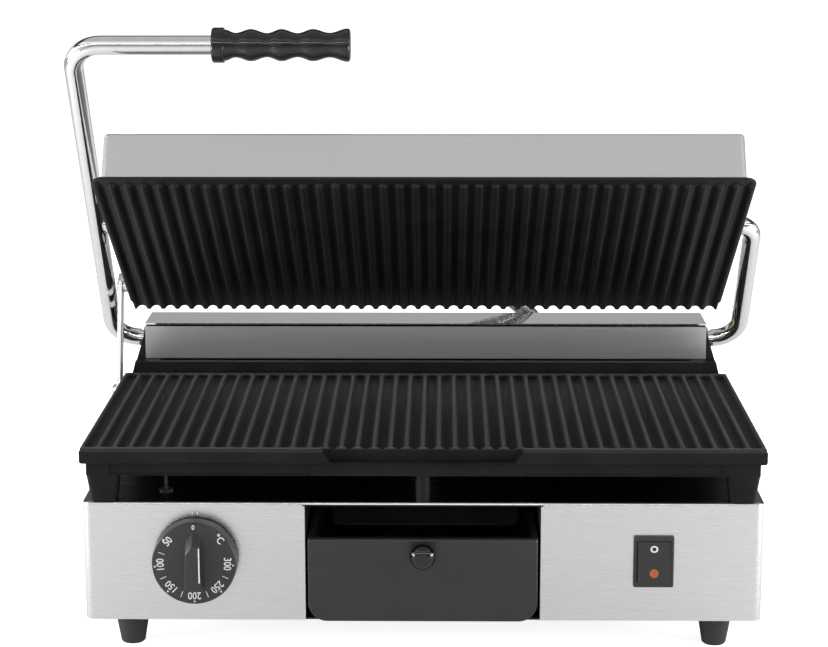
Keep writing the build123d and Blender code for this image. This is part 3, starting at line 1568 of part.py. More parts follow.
def conduit_bend(share):
    """Point and heading on the conduit's free bend, from its foot to its top."""
    rest = 1 - share
    place = Vector(0, 0, 0)
    for corner, weight in zip(bend_corners, (rest**3, 3 * rest**2 * share, 3 * rest * share**2, share**3)):
        place = place + corner * weight
    heading = Vector(0, 0, 0)
    for before, after, weight in zip(bend_corners, bend_corners[1:], (rest**2, 2 * rest * share, share**2)):
        heading = heading + (after - before) * weight
    return place, heading.normalized()


bend_steps = 600
bend_points = [conduit_bend(step / bend_steps) for step in range(bend_steps + 1)]
bend_lengths = [0.0]
bend_radius = 1000.0
for (before, before_heading), (after, after_heading) in zip(bend_points, bend_points[1:]):
    stride = (after - before).length
    bend_lengths.append(bend_lengths[-1] + stride)
    bend_radius = min(bend_radius, stride / max(1e-6, (after_heading - before_heading).length))
conduit_length = bend_lengths[-1] + 2 * conduit_straight
conduit_ribs = round(conduit_length / conduit_rib)
rib_step = conduit_length / conduit_ribs
print("conduit length", round(conduit_length, 1), "ribs", conduit_ribs, "radius", round(bend_radius, 1))
# At the tightest bend the ribs' inner sides come this close
rib_groove = 0.3 * rib_step * (1 - conduit_radius / bend_radius)
print("gap between ribs", round(rib_groove, 2))


def conduit_section(distance):
    """Plane square to the conduit at this distance from its foot."""
    if distance <= conduit_straight:
        place, heading = conduit_foot + conduit_rise * distance, conduit_rise
    elif distance >= conduit_length - conduit_straight:
        place, heading = conduit_top + along_dir * (conduit_length - distance), along_dir * -1
    else:
        inside = distance - conduit_straight
        index = min(range(bend_steps + 1), key=lambda step: abs(bend_lengths[step] - inside))
        place, heading = bend_points[index]
    across = above_dir - heading * heading.dot(above_dir)
    return Plane(origin=place, x_dir=across.normalized(), z_dir=heading)


rib_profile = [(0.0, conduit_root), (0.2, conduit_radius), (0.7, conduit_radius), (0.9, conduit_root)]
with BuildPart() as conduit:
    for rib in range(conduit_ribs):
        for share, radius in rib_profile:
            with BuildSketch(conduit_section((rib + share) * rib_step)):
                Circle(radius)
    with BuildSketch(conduit_section(conduit_length)):
        Circle(conduit_root)
    loft(ruled=True)
    for place in range(conduit_ribs + 1):
        with BuildSketch(conduit_section(place * rib_step)):
            Circle(conduit_bore)
    loft(ruled=True, mode=Mode.SUBTRACT)
finish(conduit, "conduit")
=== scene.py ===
"""Contact grill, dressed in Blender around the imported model.

Metres, in the model's own frame: +X right, +Y back, +Z up, the floor at z = 0 and the cook at -Y.
New pieces are modelled in millimetres and settled in metres. The sections follow the grill as it
is put together, after the studio that it is seen in.
"""
import math

import bmesh
import bpy
from mathutils import Euler, Matrix, Vector


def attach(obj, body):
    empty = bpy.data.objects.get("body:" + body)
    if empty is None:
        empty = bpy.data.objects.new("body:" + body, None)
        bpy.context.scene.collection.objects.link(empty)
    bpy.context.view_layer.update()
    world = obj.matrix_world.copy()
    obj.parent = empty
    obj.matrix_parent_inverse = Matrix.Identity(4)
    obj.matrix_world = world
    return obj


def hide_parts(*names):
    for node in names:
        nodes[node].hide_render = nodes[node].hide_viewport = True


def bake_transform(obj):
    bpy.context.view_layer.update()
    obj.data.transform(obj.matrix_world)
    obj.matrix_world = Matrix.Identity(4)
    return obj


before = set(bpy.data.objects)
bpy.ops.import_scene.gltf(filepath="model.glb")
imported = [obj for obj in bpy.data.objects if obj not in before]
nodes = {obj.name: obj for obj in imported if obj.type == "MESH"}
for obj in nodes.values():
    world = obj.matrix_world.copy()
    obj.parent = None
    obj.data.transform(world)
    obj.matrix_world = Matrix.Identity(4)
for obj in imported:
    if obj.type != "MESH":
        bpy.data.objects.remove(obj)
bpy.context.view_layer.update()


# Studio: a white sweep under three large soft lights, and two small ones low at the sides that
# skim the ribs. A long lens looks on from a little above the cooking plates.
class Value:
    """What one node gives. Sums on it add the nodes that work them out."""

    def __init__(self, tree, socket):
        self.tree = tree
        self.socket = socket

    def maths(self, operation, first, second=0.0):
        return Nodes(self.tree).node("ShaderNodeMath", {"operation": operation}, {0: first, 1: second})

    def __add__(self, other):
        return self.maths("ADD", self, other)

    def __sub__(self, other):
        return self.maths("SUBTRACT", self, other)

    def __rsub__(self, other):
        return self.maths("SUBTRACT", other, self)

    def __mul__(self, other):
        return self.maths("MULTIPLY", self, other)

    def __abs__(self):
        return self.maths("ABSOLUTE", self)

    def larger(self, other):
        return self.maths("MAXIMUM", self, other)

    __radd__ = __add__
    __rmul__ = __mul__


def feed(tree, socket, value):
    """Set a socket to a plain value, or link it to a worked out one."""
    if isinstance(value, Value):
        tree.links.new(value.socket, socket)
    else:
        socket.default_value = value


class Nodes:
    """The nodes of one material, or of the sky."""

    def __init__(self, tree):
        self.tree = tree

    def node(self, kind, settings, inputs, output=0):
        """Add one node: its settings first, then what goes into its sockets."""
        node = self.tree.nodes.new(kind)
        for name, value in settings.items():
            setattr(node, name, value)
        for name, value in inputs.items():
            feed(self.tree, node.inputs[name], value)
        return Value(self.tree, node.outputs[output])

    def steps(self, value, low, high):
        """0 before low, 1 past high, and smooth between."""
        span = {"Value": value, "From Min": low, "From Max": high}
        return self.node("ShaderNodeMapRange", {"interpolation_type": "SMOOTHSTEP"}, span)

    def mix(self, factor, first, second):
        """A colour that goes from the first to the second."""
        return self.node("ShaderNodeMix", {"data_type": "RGBA"}, {0: factor, 6: first, 7: second}, 2)


class Finish(Nodes):
    """The finish of one kind of surface: a Principled material and the nodes that feed it."""

    def __init__(self, name, shade, roughness, metallic=0.0):
        self.material = bpy.data.materials.new(name)
        self.material.use_nodes = True
        super().__init__(self.material.node_tree)
        self.shader = self.tree.nodes["Principled BSDF"]
        self.set(Base_Color=grey(shade), Roughness=roughness, Metallic=metallic)

    def set(self, **values):
        for name, value in values.items():
            feed(self.tree, self.shader.inputs[name.replace("_", " ")], value)

    def noise(self, scale, stretch=(1.0, 1.0, 1.0), detail=3.0, roughness=0.5):
        """Uneven patches in the piece's own place, stretched for a grain that runs one way."""
        here = self.node("ShaderNodeTexCoord", {}, {}, "Object")
        there = self.node("ShaderNodeMapping", {}, {"Vector": here, "Scale": stretch})
        grain = {"Vector": there, "Scale": scale, "Detail": detail, "Roughness": roughness}
        return self.node("ShaderNodeTexNoise", {}, grain, 0)

    def relief(self, height, depth, strength):
        """Raise the surface by a worked out height, in metres."""
        bumped = {"Height": height, "Distance": depth, "Strength": strength}
        self.set(Normal=self.node("ShaderNodeBump", {}, bumped))


def grey(level):
    return (level, level, level, 1.0)


def dress(finish, *names):
    """Give CAD nodes their finish."""
    for name in names:
        nodes[name].data.materials.clear()
        nodes[name].data.materials.append(finish.material)


scene = bpy.context.scene
scene.view_settings.view_transform = "Standard"
bpy.ops.object.select_all(action="DESELECT")

PHOTO_WIDTH = 828
FOCAL_PIXELS = 2159.09
EYE = (0.01282, -1.60337, 0.55973)
LOOKS_DOWN, LOOKS_LEFT, LEANS = 12.34, 0.74, -0.07

lens = bpy.data.cameras.new("lens")
lens.sensor_width = 36.0
lens.lens = FOCAL_PIXELS / PHOTO_WIDTH * lens.sensor_width
lens.clip_start = 0.05
camera = bpy.data.objects.new("camera", lens)
scene.collection.objects.link(camera)
camera.location = EYE
aim = Euler((math.radians(90 - LOOKS_DOWN), 0.0, math.radians(LOOKS_LEFT))).to_matrix()
camera.rotation_euler = (aim @ Matrix.Rotation(math.radians(LEANS), 3, "Z")).to_euler()
scene.camera = camera

# What bright metal reflects: pale walls that are brightest at the far sides, a dark roof with a
# broad light panel and a thin tube in it, and a grey ceiling straight above.
world = bpy.data.worlds.new("studio")
world.use_nodes = True
scene.world = world
sky = Nodes(world.node_tree)
seen = sky.node("ShaderNodeLightPath", {}, {}, "Is Camera Ray")
mirrored = sky.node("ShaderNodeLightPath", {}, {}, "Is Glossy Ray")
direction = sky.node("ShaderNodeTexCoord", {}, {}, "Generated")
across, deep, up = [sky.node("ShaderNodeSeparateXYZ", {}, {"Vector": direction}, axis) for axis in range(3)]
wall = 0.44 - 0.14 * sky.steps(across, 0.2, 0.6) + 0.34 * sky.steps(across, -0.35, -0.75)
wall = wall + 0.9 * sky.steps(abs(across), 0.82, 0.93)
roof = sky.steps(up, 0.36, 0.44)
panel = sky.steps(up, 0.52, 0.56) * sky.steps(up, 0.76, 0.70) * sky.steps(deep, 0.25, -0.1)
ceiling = sky.steps(up, 0.70, 0.78)
tube = sky.steps(up, 0.360, 0.368) * sky.steps(up, 0.408, 0.40) * sky.steps(deep, 0.0, -0.3)
room = wall * (1 - 0.9 * roof) + 1.3 * panel + 0.56 * ceiling + 10 * tube
SKY_LEVEL = 0.42
plain = (1 - mirrored) * SKY_LEVEL
background = world.node_tree.nodes["Background"]
background.inputs["Color"].default_value = grey(1.0)
feed(sky.tree, background.inputs["Strength"], seen.larger(mirrored * room).larger(plain * (1 - seen)))

bpy.ops.mesh.primitive_plane_add(size=30, location=(0, 5, 0))
floor = bpy.context.object
floor.name = "floor"
bpy.ops.object.transform_apply(location=True, rotation=True, scale=True)
paper = Finish("white sweep", 0.86, 0.9)
paper.set(Emission_Strength=1.0)
watched = paper.node("ShaderNodeLightPath", {}, {}, "Is Camera Ray")
paper.set(Emission_Color=paper.mix(watched, grey(0.0), grey(0.85)))
floor.data.materials.append(paper.material)


def soft_light(name, place, height, size, power, in_metal=False):
    """A soft box that faces the grill at a height. in_metal is whether bright metal shows it."""
    light = bpy.data.lights.new(name, "AREA")
    light.shape = "RECTANGLE"
    light.size, light.size_y = size
    light.energy = power
    lamp = bpy.data.objects.new(name, light)
    lamp.location = place
    lamp.rotation_euler = (Vector((0, 0, height)) - Vector(place)).to_track_quat("-Z", "Y").to_euler()
    lamp.visible_glossy = in_metal
    scene.collection.objects.link(lamp)


soft_light("key", (-1.3, -1.5, 1.7), 0.2, (1.4, 1.0), 26)
soft_light("fill", (1.6, -1.3, 1.1), 0.2, (1.2, 1.2), 12)
soft_light("rear", (0.2, 1.3, 1.5), 0.25, (1.6, 0.6), 14)
soft_light("left skim", (-1.0, -0.35, 0.2), 0.3, (0.6, 0.2), 7, in_metal=True)
soft_light("right skim", (1.0, -0.35, 0.2), 0.3, (0.6, 0.2), 7, in_metal=True)


# Lower plate: one iron casting with 41 ribs, a rim with a pouring notch, a skirt and four
# tapered legs. It is sand cast, so it is dull and fine grained. Its ridge tops are painted paler,
# partly as wear and partly as a painted highlight.
def middle(item):
    """The middle of a vertex, an edge or a face."""
    if isinstance(item, bmesh.types.BMVert):
        return item.co
    return sum((vertex.co for vertex in item.verts), Vector()) / len(item.verts)


def pick(kind, test):
    """In edit mode, select just the vertices, edges or faces that pass a test of their middle."""
    bpy.ops.mesh.select_mode(type=kind)
    bpy.ops.mesh.select_all(action="DESELECT")
    shape = bmesh.from_edit_mesh(bpy.context.object.data)
    for item in {"VERT": shape.verts, "EDGE": shape.edges, "FACE": shape.faces}[kind]:
        if test(middle(item), item):
            item.select_set(True)
    shape.select_flush_mode()
    bmesh.update_edit_mesh(bpy.context.object.data)


def put_down():
    """Leave edit mode, with nothing selected."""
    if bpy.context.object and bpy.context.object.mode == "EDIT":
        bpy.ops.object.mode_set(mode="OBJECT")
    bpy.ops.object.select_all(action="DESELECT")


def take_up(piece):
    """Make one piece the selected and active one."""
    put_down()
    piece.select_set(True)
    bpy.context.view_layer.objects.active = piece


def edit(piece):
    """Open a piece for editing, with all of it selected."""
    take_up(piece)
    bpy.ops.object.mode_set(mode="EDIT")
    bpy.ops.mesh.select_all(action="SELECT")


def begin(primitive, place=(0, 0, 0), turn=(0, 0, 0), **size):
    """Add one primitive, in millimetres, and open it for editing."""
    put_down()
    primitive(location=place, rotation=[math.radians(angle) for angle in turn], **size)
    bpy.ops.object.transform_apply(location=True, rotation=True, scale=True)
    edit(bpy.context.object)
    return bpy.context.object


def box(low, high):
    """A box between two corners."""
    size = [far - near for near, far in zip(low, high)]
    place = [(near + far) / 2 for near, far in zip(low, high)]
    return begin(bpy.ops.mesh.primitive_cube_add, place, size=1, scale=size)


def draw_out(step=(0, 0, 0), grow=None, about=(0, 0, 0)):
    """Extrude the selection by a step, then resize its new end about a point."""
    bpy.ops.mesh.extrude_region_move(TRANSFORM_OT_translate={"value": step})
    if grow:
        bpy.ops.transform.resize(value=grow, center_override=about)


def flatten(level):
    """Bring the selection to one level."""
    bpy.ops.transform.resize(value=(1, 1, 0), center_override=(0, 0, level))


def trim(point, outward, fill=False):
    """Cut the whole piece with a plane and drop what lies outside it."""
    bpy.ops.mesh.select_all(action="SELECT")
    bpy.ops.mesh.bisect(plane_co=point, plane_no=outward, clear_outer=True, use_fill=fill)


def round_off(offset, segments, affect="EDGES"):
    bpy.ops.mesh.bevel(offset=offset, segments=segments, affect=affect, profile=0.5)


def modify(piece, kind, **settings):
    """Add one modifier and apply it."""
    take_up(piece)
    step = piece.modifiers.new(kind.lower(), kind)
    for name, value in settings.items():
        setattr(step, name, value)
    bpy.ops.object.modifier_apply(modifier=step.name)


def repeat(piece, count, step):
    """Copy a piece in a row and merge each copy with the next."""
    modify(piece, "ARRAY", count=count, use_relative_offset=False, use_constant_offset=True,
           constant_offset_displace=step, use_merge_vertices=True, merge_threshold=0.01)


def weld(threshold):
    """Merge doubled corners and turn the faces outwards."""
    bpy.ops.mesh.select_mode(type="VERT")
    bpy.ops.mesh.select_all(action="SELECT")
    bpy.ops.mesh.remove_doubles(threshold=threshold)
    bpy.ops.mesh.normals_make_consistent(inside=False)
    bpy.ops.object.mode_set(mode="OBJECT")


def close(angle=35):
    """Finish editing: a closed shell, smooth where its faces meet at less than an angle."""
    weld(0.01)
    bpy.ops.object.shade_smooth_by_angle(angle=math.radians(angle))
    return bpy.context.object


def cut(piece, *cutters):
    """Take the cutters away from a piece."""
    for cutter in cutters:
        modify(piece, "BOOLEAN", operation="DIFFERENCE", solver="MANIFOLD", object=cutter)
        bpy.data.objects.remove(cutter)


def join(*pieces):
    """Make several closed shells one piece, under the first one's name."""
    put_down()
    for piece in pieces:
        piece.select_set(True)
    bpy.context.view_layer.objects.active = pieces[0]
    bpy.ops.object.join()
    return pieces[0]


def settle(piece, name, place=(0, 0, 0), turn=(0, 0, 0), angle=35):
    """Move and turn a piece to its place and go from millimetres to metres."""
    take_up(piece)
    piece.name = name
    piece.location = [length / 1000 for length in place]
    piece.rotation_euler = [math.radians(corner) for corner in turn]
    piece.scale = (0.001, 0.001, 0.001)
    bpy.ops.object.transform_apply(location=True, rotation=True, scale=True)
    bpy.ops.object.shade_smooth_by_angle(angle=math.radians(angle))
    return piece


def hand_over(piece, finish, body, slot, *replaced):
    """Give a settled piece its finish and its place in the moving model."""
    piece.data.materials.clear()
    piece.data.materials.append(finish.material)
    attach(piece, body)
    if replaced:
        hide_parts(*replaced)


def past(finish, direction, start):
    """How far a point lies past a start along a direction, in metres."""
    here = finish.node("ShaderNodeTexCoord", {}, {}, "Object")
    dotted = {"Vector": here, "Vector_001": direction}
    return finish.node("ShaderNodeVectorMath", {"operation": "DOT_PRODUCT"}, dotted, "Value") - start


def cast(name, sheen=0.13, worn_and_highlit_level=None):
    """Seasoned cast iron, paler on the rib tops near worn_and_highlit_level: partly rubbed bare, partly a
    painted highlight.
    """
    iron = Finish(name, 0.02, 0.5)
    patch = iron.noise(26, detail=5, roughness=0.6)
    grain = iron.noise(620, detail=2)
    shade = iron.mix(iron.steps(patch, 0.3, 0.7), grey(0.005), grey(0.009))
    # The rib tops are painted paler: partly iron rubbed bare, partly a painted highlight on the ridges.
    if worn_and_highlit_level:
        crest = iron.steps(past(iron, (0, 0, 1), worn_and_highlit_level), -0.0022, 0.0)
        shade = iron.mix(crest * (0.45 + 0.9 * grain), shade, grey(0.062))
    iron.set(Base_Color=shade, Roughness=0.42 + 0.12 * patch + 0.10 * grain)
    iron.set(Specular_IOR_Level=sheen)
    iron.relief(grain, 0.00025, 0.8)
    return iron


RIB = 11.4  # from one rib to the next
DEPTH = 3.4  # of the grooves between them
NEAR = 0.1  # how close to a line counts as on it


def groove(length, wide, crest, closed):
    """One groove and the two half ribs beside it, along y. Its closed end is a quarter bowl."""
    reach = length / 2
    radius = (wide**2 + DEPTH**2) / (2 * DEPTH)
    centre = (0, RIB / 2 + NEAR - reach if closed else -reach, 0)
    cell = begin(bpy.ops.mesh.primitive_circle_add, (0, centre[1], radius - DEPTH), (90, 0, 0),
                 vertices=40, radius=radius)
    trim((0, 0, 0), (0, 0, 1))
    if closed:
        trim((0, 0, 0), (-1, 0, 0))
        bpy.ops.mesh.select_all(action="SELECT")
        bpy.ops.mesh.spin(steps=12, angle=math.pi, center=centre, axis=(0, 0, 1))
        bpy.ops.mesh.select_all(action="SELECT")
        bpy.ops.mesh.remove_doubles(threshold=0.001)
        pick("EDGE", lambda at, edge: edge.is_boundary and abs(at.z) < 0.02)
        draw_out(grow=(9 / wide, 9 / wide, 1), about=centre)
        pick("EDGE", lambda at, edge: edge.is_boundary and abs(at.y - centre[1]) < 0.01)
        draw_out((0, -centre[1], 0))
        trim((0, -reach, 0), (0, -1, 0))
    else:
        bpy.ops.mesh.select_all(action="SELECT")
        draw_out((0, length, 0))
        for side in (-1, 1):
            pick("EDGE", lambda at, edge: (edge.is_boundary and abs(at.x - side * wide) < 0.05
                                           and abs(at.z) < 0.02))
            draw_out((3 * side, 0, 0))
    trim((RIB / 2, 0, 0), (1, 0, 0))
    trim((-RIB / 2, 0, 0), (-1, 0, 0))
    pick("EDGE", lambda at, edge: (abs(at.z) < 0.02 and not edge.is_boundary
                                   and edge.calc_face_angle(0) > 0.3))
    round_off(crest, 4)
    return cell


PLATE_PLACE = (0, -36.5, 152)
GROOVES = 42
GROOVED = 221
plate = groove(GROOVED, 4.75, 0.8, closed=True)
modify(plate, "MIRROR", use_axis=(False, True, False), merge_threshold=0.01)
edit(plate)
bpy.ops.transform.translate(value=((1 - GROOVES) / 2 * RIB, 0, 0))
repeat(plate, GROOVES, (RIB, 0, 0))
edit(plate)
for way in (-1, 1):
    pick("EDGE", lambda at, edge: edge.is_boundary and at.y * way > GROOVED / 2 - NEAR)
    draw_out((0, 0.5 * way, -1))
    draw_out((0, 4.3 * way, 0))
half = [GROOVES * RIB / 2, GROOVED / 2 + 4.8]
pick("VERT", lambda at, corner: abs(at.x) > half[0] - NEAR and abs(at.y) > half[1] - NEAR)
round_off(3.4, 8, "VERTICES")
pick("EDGE", lambda at, edge: edge.is_boundary)


def ring(spread, drop):
    """Draw the selected outline down, a little wider or narrower."""
    draw_out((0, 0, -drop), [(length + spread) / length for length in half] + [1])
    half[:] = [length + spread for length in half]


RIM_SHOULDER = ((0.42, 0.08), (0.28, 0.22), (0.18, 0.4), (0.12, 0.7))
RIM_AND_SKIRT = ((-0.2, 1.0), (-0.7, 0.8), (-1.0, 0.4), (-2.1, 0), (0, 9))
for spread, drop in RIM_SHOULDER:
    ring(spread, drop)
ring(0, 5.8)
flatten(-8.8)
for spread, drop in RIM_AND_SKIRT:
    ring(spread, drop)
bpy.ops.mesh.edge_face_add()
ring(-10, 0)
draw_out((0, 0, 10))
close()

NOTCH, SPLAY = 65, 8  # half the pouring notch's floor, and how far each side of it leans out
notch = box((-NOTCH, -118, -9.4), (NOTCH, -108.6, 3))
pick("FACE", lambda at, face: at.z > 3 - NEAR)
bpy.ops.transform.resize(value=(1 + SPLAY / NOTCH, 1, 1), center_override=(0, 0, 0))
RECESSES = ((-220, -80), (70, 210))
recesses = [box((left, -114, -19), (right, -111.5, -12)) for left, right in RECESSES]
cut(plate, notch, *recesses)

STAND, UNDERSIDE = -40, -19  # the legs' lower and upper ends
LEG_MIDDLE = (STAND + UNDERSIDE) / 2
FOOT_X, FOOT_Y = 8.85, 8
legs = []
for x in (-225, 225):
    for y in (-102.5, 94.5):
        box((x - FOOT_X, y - FOOT_Y, STAND), (x + FOOT_X, y + FOOT_Y, UNDERSIDE))
        pick("FACE", lambda at, face: at.z > UNDERSIDE - 0.5)
        bpy.ops.transform.resize(value=(11.8 / FOOT_X, 10 / FOOT_Y, 1), center_override=(x, y, 0))
        pick("EDGE", lambda at, edge: abs(at.z - LEG_MIDDLE) < 3)
        round_off(3.5, 5)
        legs.append(close())
begin(bpy.ops.mesh.primitive_cylinder_add, (0, -105.5, LEG_MIDDLE), vertices=32, radius=5,
      depth=UNDERSIDE - STAND)
post = close()
begin(bpy.ops.mesh.primitive_cylinder_add, (-233.4, 97, -10.25), (0, 90, 0), vertices=40, radius=7, depth=14)
pick("EDGE", lambda at, edge: at.x < -240.4 + NEAR)
round_off(0.6, 2)
stay_boss = close()
plate = settle(join(plate, *legs, post, stay_boss), "ribbed_lower_plate", PLATE_PLACE)
plate_iron = cast("lower plate iron", worn_and_highlit_level=PLATE_PLACE[2] / 1000)
hand_over(plate, plate_iron, "base", "ribbed_iron", "lower_plate")

# Upper plate: the second casting, seen from its front edge and hung face down in the lid.
# 41 open grooves leave 42 ribs whose front ends are rounded, and a flat flange holds it.
LID_POINT = (0, -86.555, 326.634)
LID_TILT = -35
PRESSED = 217.6  # length of the grooves
NOSE = 3.4  # how far the ribs' front ends curve back
OPEN_GROOVES = 41

press = groove(PRESSED, 4.0, 1.6, closed=False)
bpy.ops.mesh.select_all(action="SELECT")
bpy.ops.transform.translate(value=((1 - OPEN_GROOVES) / 2 * RIB, PRESSED / 2 + NOSE, 0))
repeat(press, OPEN_GROOVES, (RIB, 0, 0))
edit(press)
pick("EDGE", lambda at, edge: edge.is_boundary and at.y < NOSE + NEAR)
bpy.ops.mesh.spin(steps=6, angle=math.radians(-85), center=(0, NOSE, -3.5), axis=(1, 0, 0))
pick("EDGE", lambda at, edge: edge.is_boundary)
draw_out((0, 0, -4.6))
flatten(-4.6)
bpy.ops.mesh.edge_face_add()
close()

FLANGE_END, FLANGE_FRONT, FLANGE_REAR, FLANGE_MIDDLE = 236.5, -6, 221, -4.5
flange = box((-FLANGE_END, FLANGE_FRONT, -5.6), (FLANGE_END, FLANGE_REAR, -3.4))
for side, radius in ((FLANGE_FRONT, 9), (FLANGE_REAR, 10)):
    pick("EDGE", lambda at, edge: (abs(at.x) > FLANGE_END - 0.5 and abs(at.y - side) < NEAR
                                   and abs(at.z - FLANGE_MIDDLE) < NEAR))
    round_off(radius, 8)
pick("EDGE", lambda at, edge: abs(at.z - FLANGE_MIDDLE) > 1)
round_off(0.7, 3)
close()
back = box((-226, 2, -15), (226, 215, -5.4))
close()
press = settle(join(press, flange, back), "ribbed_upper_plate", LID_POINT, (180 - LID_TILT, 0, 180))
hand_over(press, cast("upper plate iron", sheen=0.2), "lid", "ribbed_iron", "upper_plate")

# Bail: one bright steel bar, bent cold. Its ends go down into the hinge box, its right end
# turns in to a journal and its left end carries the grip, so it reads as a raised loop.
HINGE = (0, 113, 172.7)
BAIL_TURN = 180 - 56.9
BAR = 7  # the bar's radius
JOURNAL, PIN = 6, 5  # the radius between the bearings, and in the plate's right ear
REACH = 300  # from the hinge line to the grip
GRIP_START = -151.7
BEND = 21.5  # radius of a bend, at the middle of the bar
CORNER = 232.1  # how far each way the bends' centres lie
TURN_IN = 12.9  # radius of the bend at the plate's pivot
PIVOT = 125.3  # from the hinge line to that pivot
STEP = 0.5  # length of a shoulder


def bend(x, reach):
    """Carry the bar round a quarter bend about a point of the bail's plane."""
    bpy.ops.mesh.spin(steps=20, angle=-math.pi / 2, center=(x, reach, 0), axis=(0, 0, 1))


def shoulder(ratio, x, reach):
    """Turn the bar thicker or thinner about its middle line."""
    draw_out((0, 0, 0), (1, ratio, ratio), (x, reach, 0))


bar = begin(bpy.ops.mesh.primitive_circle_add, (GRIP_START, REACH, 0), (0, 90, 0), vertices=48, radius=BAR)
draw_out((-CORNER - GRIP_START, 0, 0))
bend(-CORNER, REACH - BEND)
draw_out((0, 2 * BEND - REACH, 0))
bend(-CORNER, BEND)
draw_out((STEP, 0, 0))
shoulder(JOURNAL / BAR, STEP - CORNER, 0)
draw_out((2 * (CORNER - STEP), 0, 0))
shoulder(BAR / JOURNAL, CORNER - STEP, 0)
draw_out((STEP, 0, 0))
bend(CORNER, BEND)
draw_out((0, PIVOT - TURN_IN - BEND, 0))
bend(CORNER + BEND - TURN_IN, PIVOT - TURN_IN)
draw_out((-STEP, 0, 0))
shoulder(PIN / BAR, CORNER + BEND - TURN_IN - STEP, PIVOT)
draw_out((-11.2, 0, 0))
for end in (-1, 1):
    pick("EDGE", lambda at, edge: edge.is_boundary and at.x * end > 0)
    bpy.ops.mesh.edge_face_add()
close(40)
pin_seat = box((-248.4, PIVOT - 7.5, -8), (-240, PIVOT + 7.5, 8))
cut(bar, pin_seat)
bar = settle(bar, "bent_bail", HINGE, (BAIL_TURN, 0, 0), 40)
chrome = Finish("bright bar", 0.72, 0.09, 1.0)
rub = chrome.noise(120, detail=3)
chrome.set(Roughness=0.05 + 0.05 * rub, Base_Color=chrome.mix(rub, grey(0.66), grey(0.78)))
hand_over(bar, chrome, "arm", "bright_chrome", "bail")
dress(chrome, "pivot_pin", "pivot_washer", "pivot_sleeve", "stay_bolt", "stay_washer", "stay_pin")


# Grip: a black moulded handle pushed on the bar's end. Four waves give the fingers a hold, and a
# collar stands at its inner end. The moulding is glossy, with a faint skin.
def turned(steps, sides):
    """Turn a piece on the z axis from its outline, given as (height, radius)."""
    (first, radius), *_ = steps
    piece = begin(bpy.ops.mesh.primitive_circle_add, (0, 0, first), vertices=sides, radius=radius,
                  fill_type="NGON")
    for (low, before), (high, radius) in zip(steps, steps[1:]):
        draw_out((0, 0, high - low), (radius / before, radius / before, 1), (0, 0, high))
    return piece


COLLAR = [(0, 11.5), (0.35, 12.15), (1.2, 12.7), (8.3, 12.7), (8.7, 12.6), (8.9, 12.2), (9.0, 11.4)]
WAVES = ((9.4, 11.2), (16.9, 8.9), (27.9, 11.6), (39.5, 8.7), (49.7, 11.6), (61.4, 8.7), (72.3, 11.6),
         (84.4, 8.9), (97.2, 12.0))
WAVE_STEPS = 8
TIP_ROUND = 2
outline = list(COLLAR)
for (near, first), (far, second) in zip(WAVES, WAVES[1:]):
    for step in range(WAVE_STEPS):
        share = step / WAVE_STEPS
        level = (1 - math.cos(math.pi * share)) / 2
        outline.append((near + (far - near) * share, first + (second - first) * level))
tip, tip_radius = WAVES[-1]
for step in range(7):
    corner = math.radians(15 * step)
    outline.append((tip + TIP_ROUND * math.sin(corner), tip_radius - TIP_ROUND * (1 - math.cos(corner))))
handle = turned(outline, 64)
pick("FACE", lambda at, face: at.z < 0.01)
bpy.ops.mesh.inset(thickness=6.4)
draw_out((0, 0, 3))
close(50)
leaning = math.radians(BAIL_TURN)
bar_end = (GRIP_START, HINGE[1] + REACH * math.cos(leaning), HINGE[2] + REACH * math.sin(leaning))
handle = settle(handle, "moulded_grip", bar_end, (0, 90, 0), 50)
moulding = Finish("moulded grip", 0.008, 0.22)
skin = moulding.noise(260, detail=3)
moulding.set(Roughness=0.09 + 0.10 * skin, Base_Color=moulding.mix(skin, grey(0.004), grey(0.008)))
moulding.relief(skin, 0.00006, 0.4)
hand_over(handle, moulding, "arm", "black_plastic", "grip")


# Housing and lid cover: brushed stainless sheet, folded and screwed. The brushing runs across the
# grill on every face, and the steel deck behind the front panel's top edge is coloured near black,
# a painted shade for the shade and dark reflection under the plate.
def brushed(name, dark, light, roughness, spread):
    """Steel sheet with a fine grain along x and slow unevenness from folding."""
    sheet = Finish(name, light, roughness, 1.0)
    hair = sheet.noise(1.0, (9, 2300, 2300), detail=2)
    broad = sheet.noise(3.2, (1.0, 1.0, 2.2), detail=1)
    steel = sheet.mix(0.6 * hair + 0.4 * broad, grey(dark), grey(light))
    sheet.set(Base_Color=steel, Roughness=roughness + spread * hair)
    return sheet, steel


DECK = 0.112  # the level of the housing's top, in metres
PANEL_EDGE = -0.147
panels, bare = brushed("brushed panels", 0.60, 0.68, 0.24, 0.07)
# Painted shade: the deck's steel, at its level and behind the panel's top edge, is coloured near black.
on_top = panels.steps(past(panels, (0, 0, 1), DECK), -0.0009, -0.0003)
behind = panels.steps(past(panels, (0, 1, 0), PANEL_EDGE), 0.0012, 0.003)
panels.set(Base_Color=panels.mix(on_top * behind, bare, grey(0.035)))
dress(panels, "housing")
cover, _ = brushed("brushed cover", 0.62, 0.66, 0.36, 0.05)
dress(cover, "lid_cover")

# Hinge box: a black casting across the back with a brushed steel face and a polished top. The
# slotted stay is the face's steel, and the two ears are cast as the box is.
casting = cast("seasoned iron")
dress(casting, "hinge_casting", "ear_left", "ear_right")
face, _ = brushed("brushed face", 0.62, 0.68, 0.30, 0.06)
dress(face, "hinge_face", "stay_strap")
mirror, _ = brushed("polished sheet", 0.70, 0.74, 0.03, 0.02)
dress(mirror, "hinge_top")


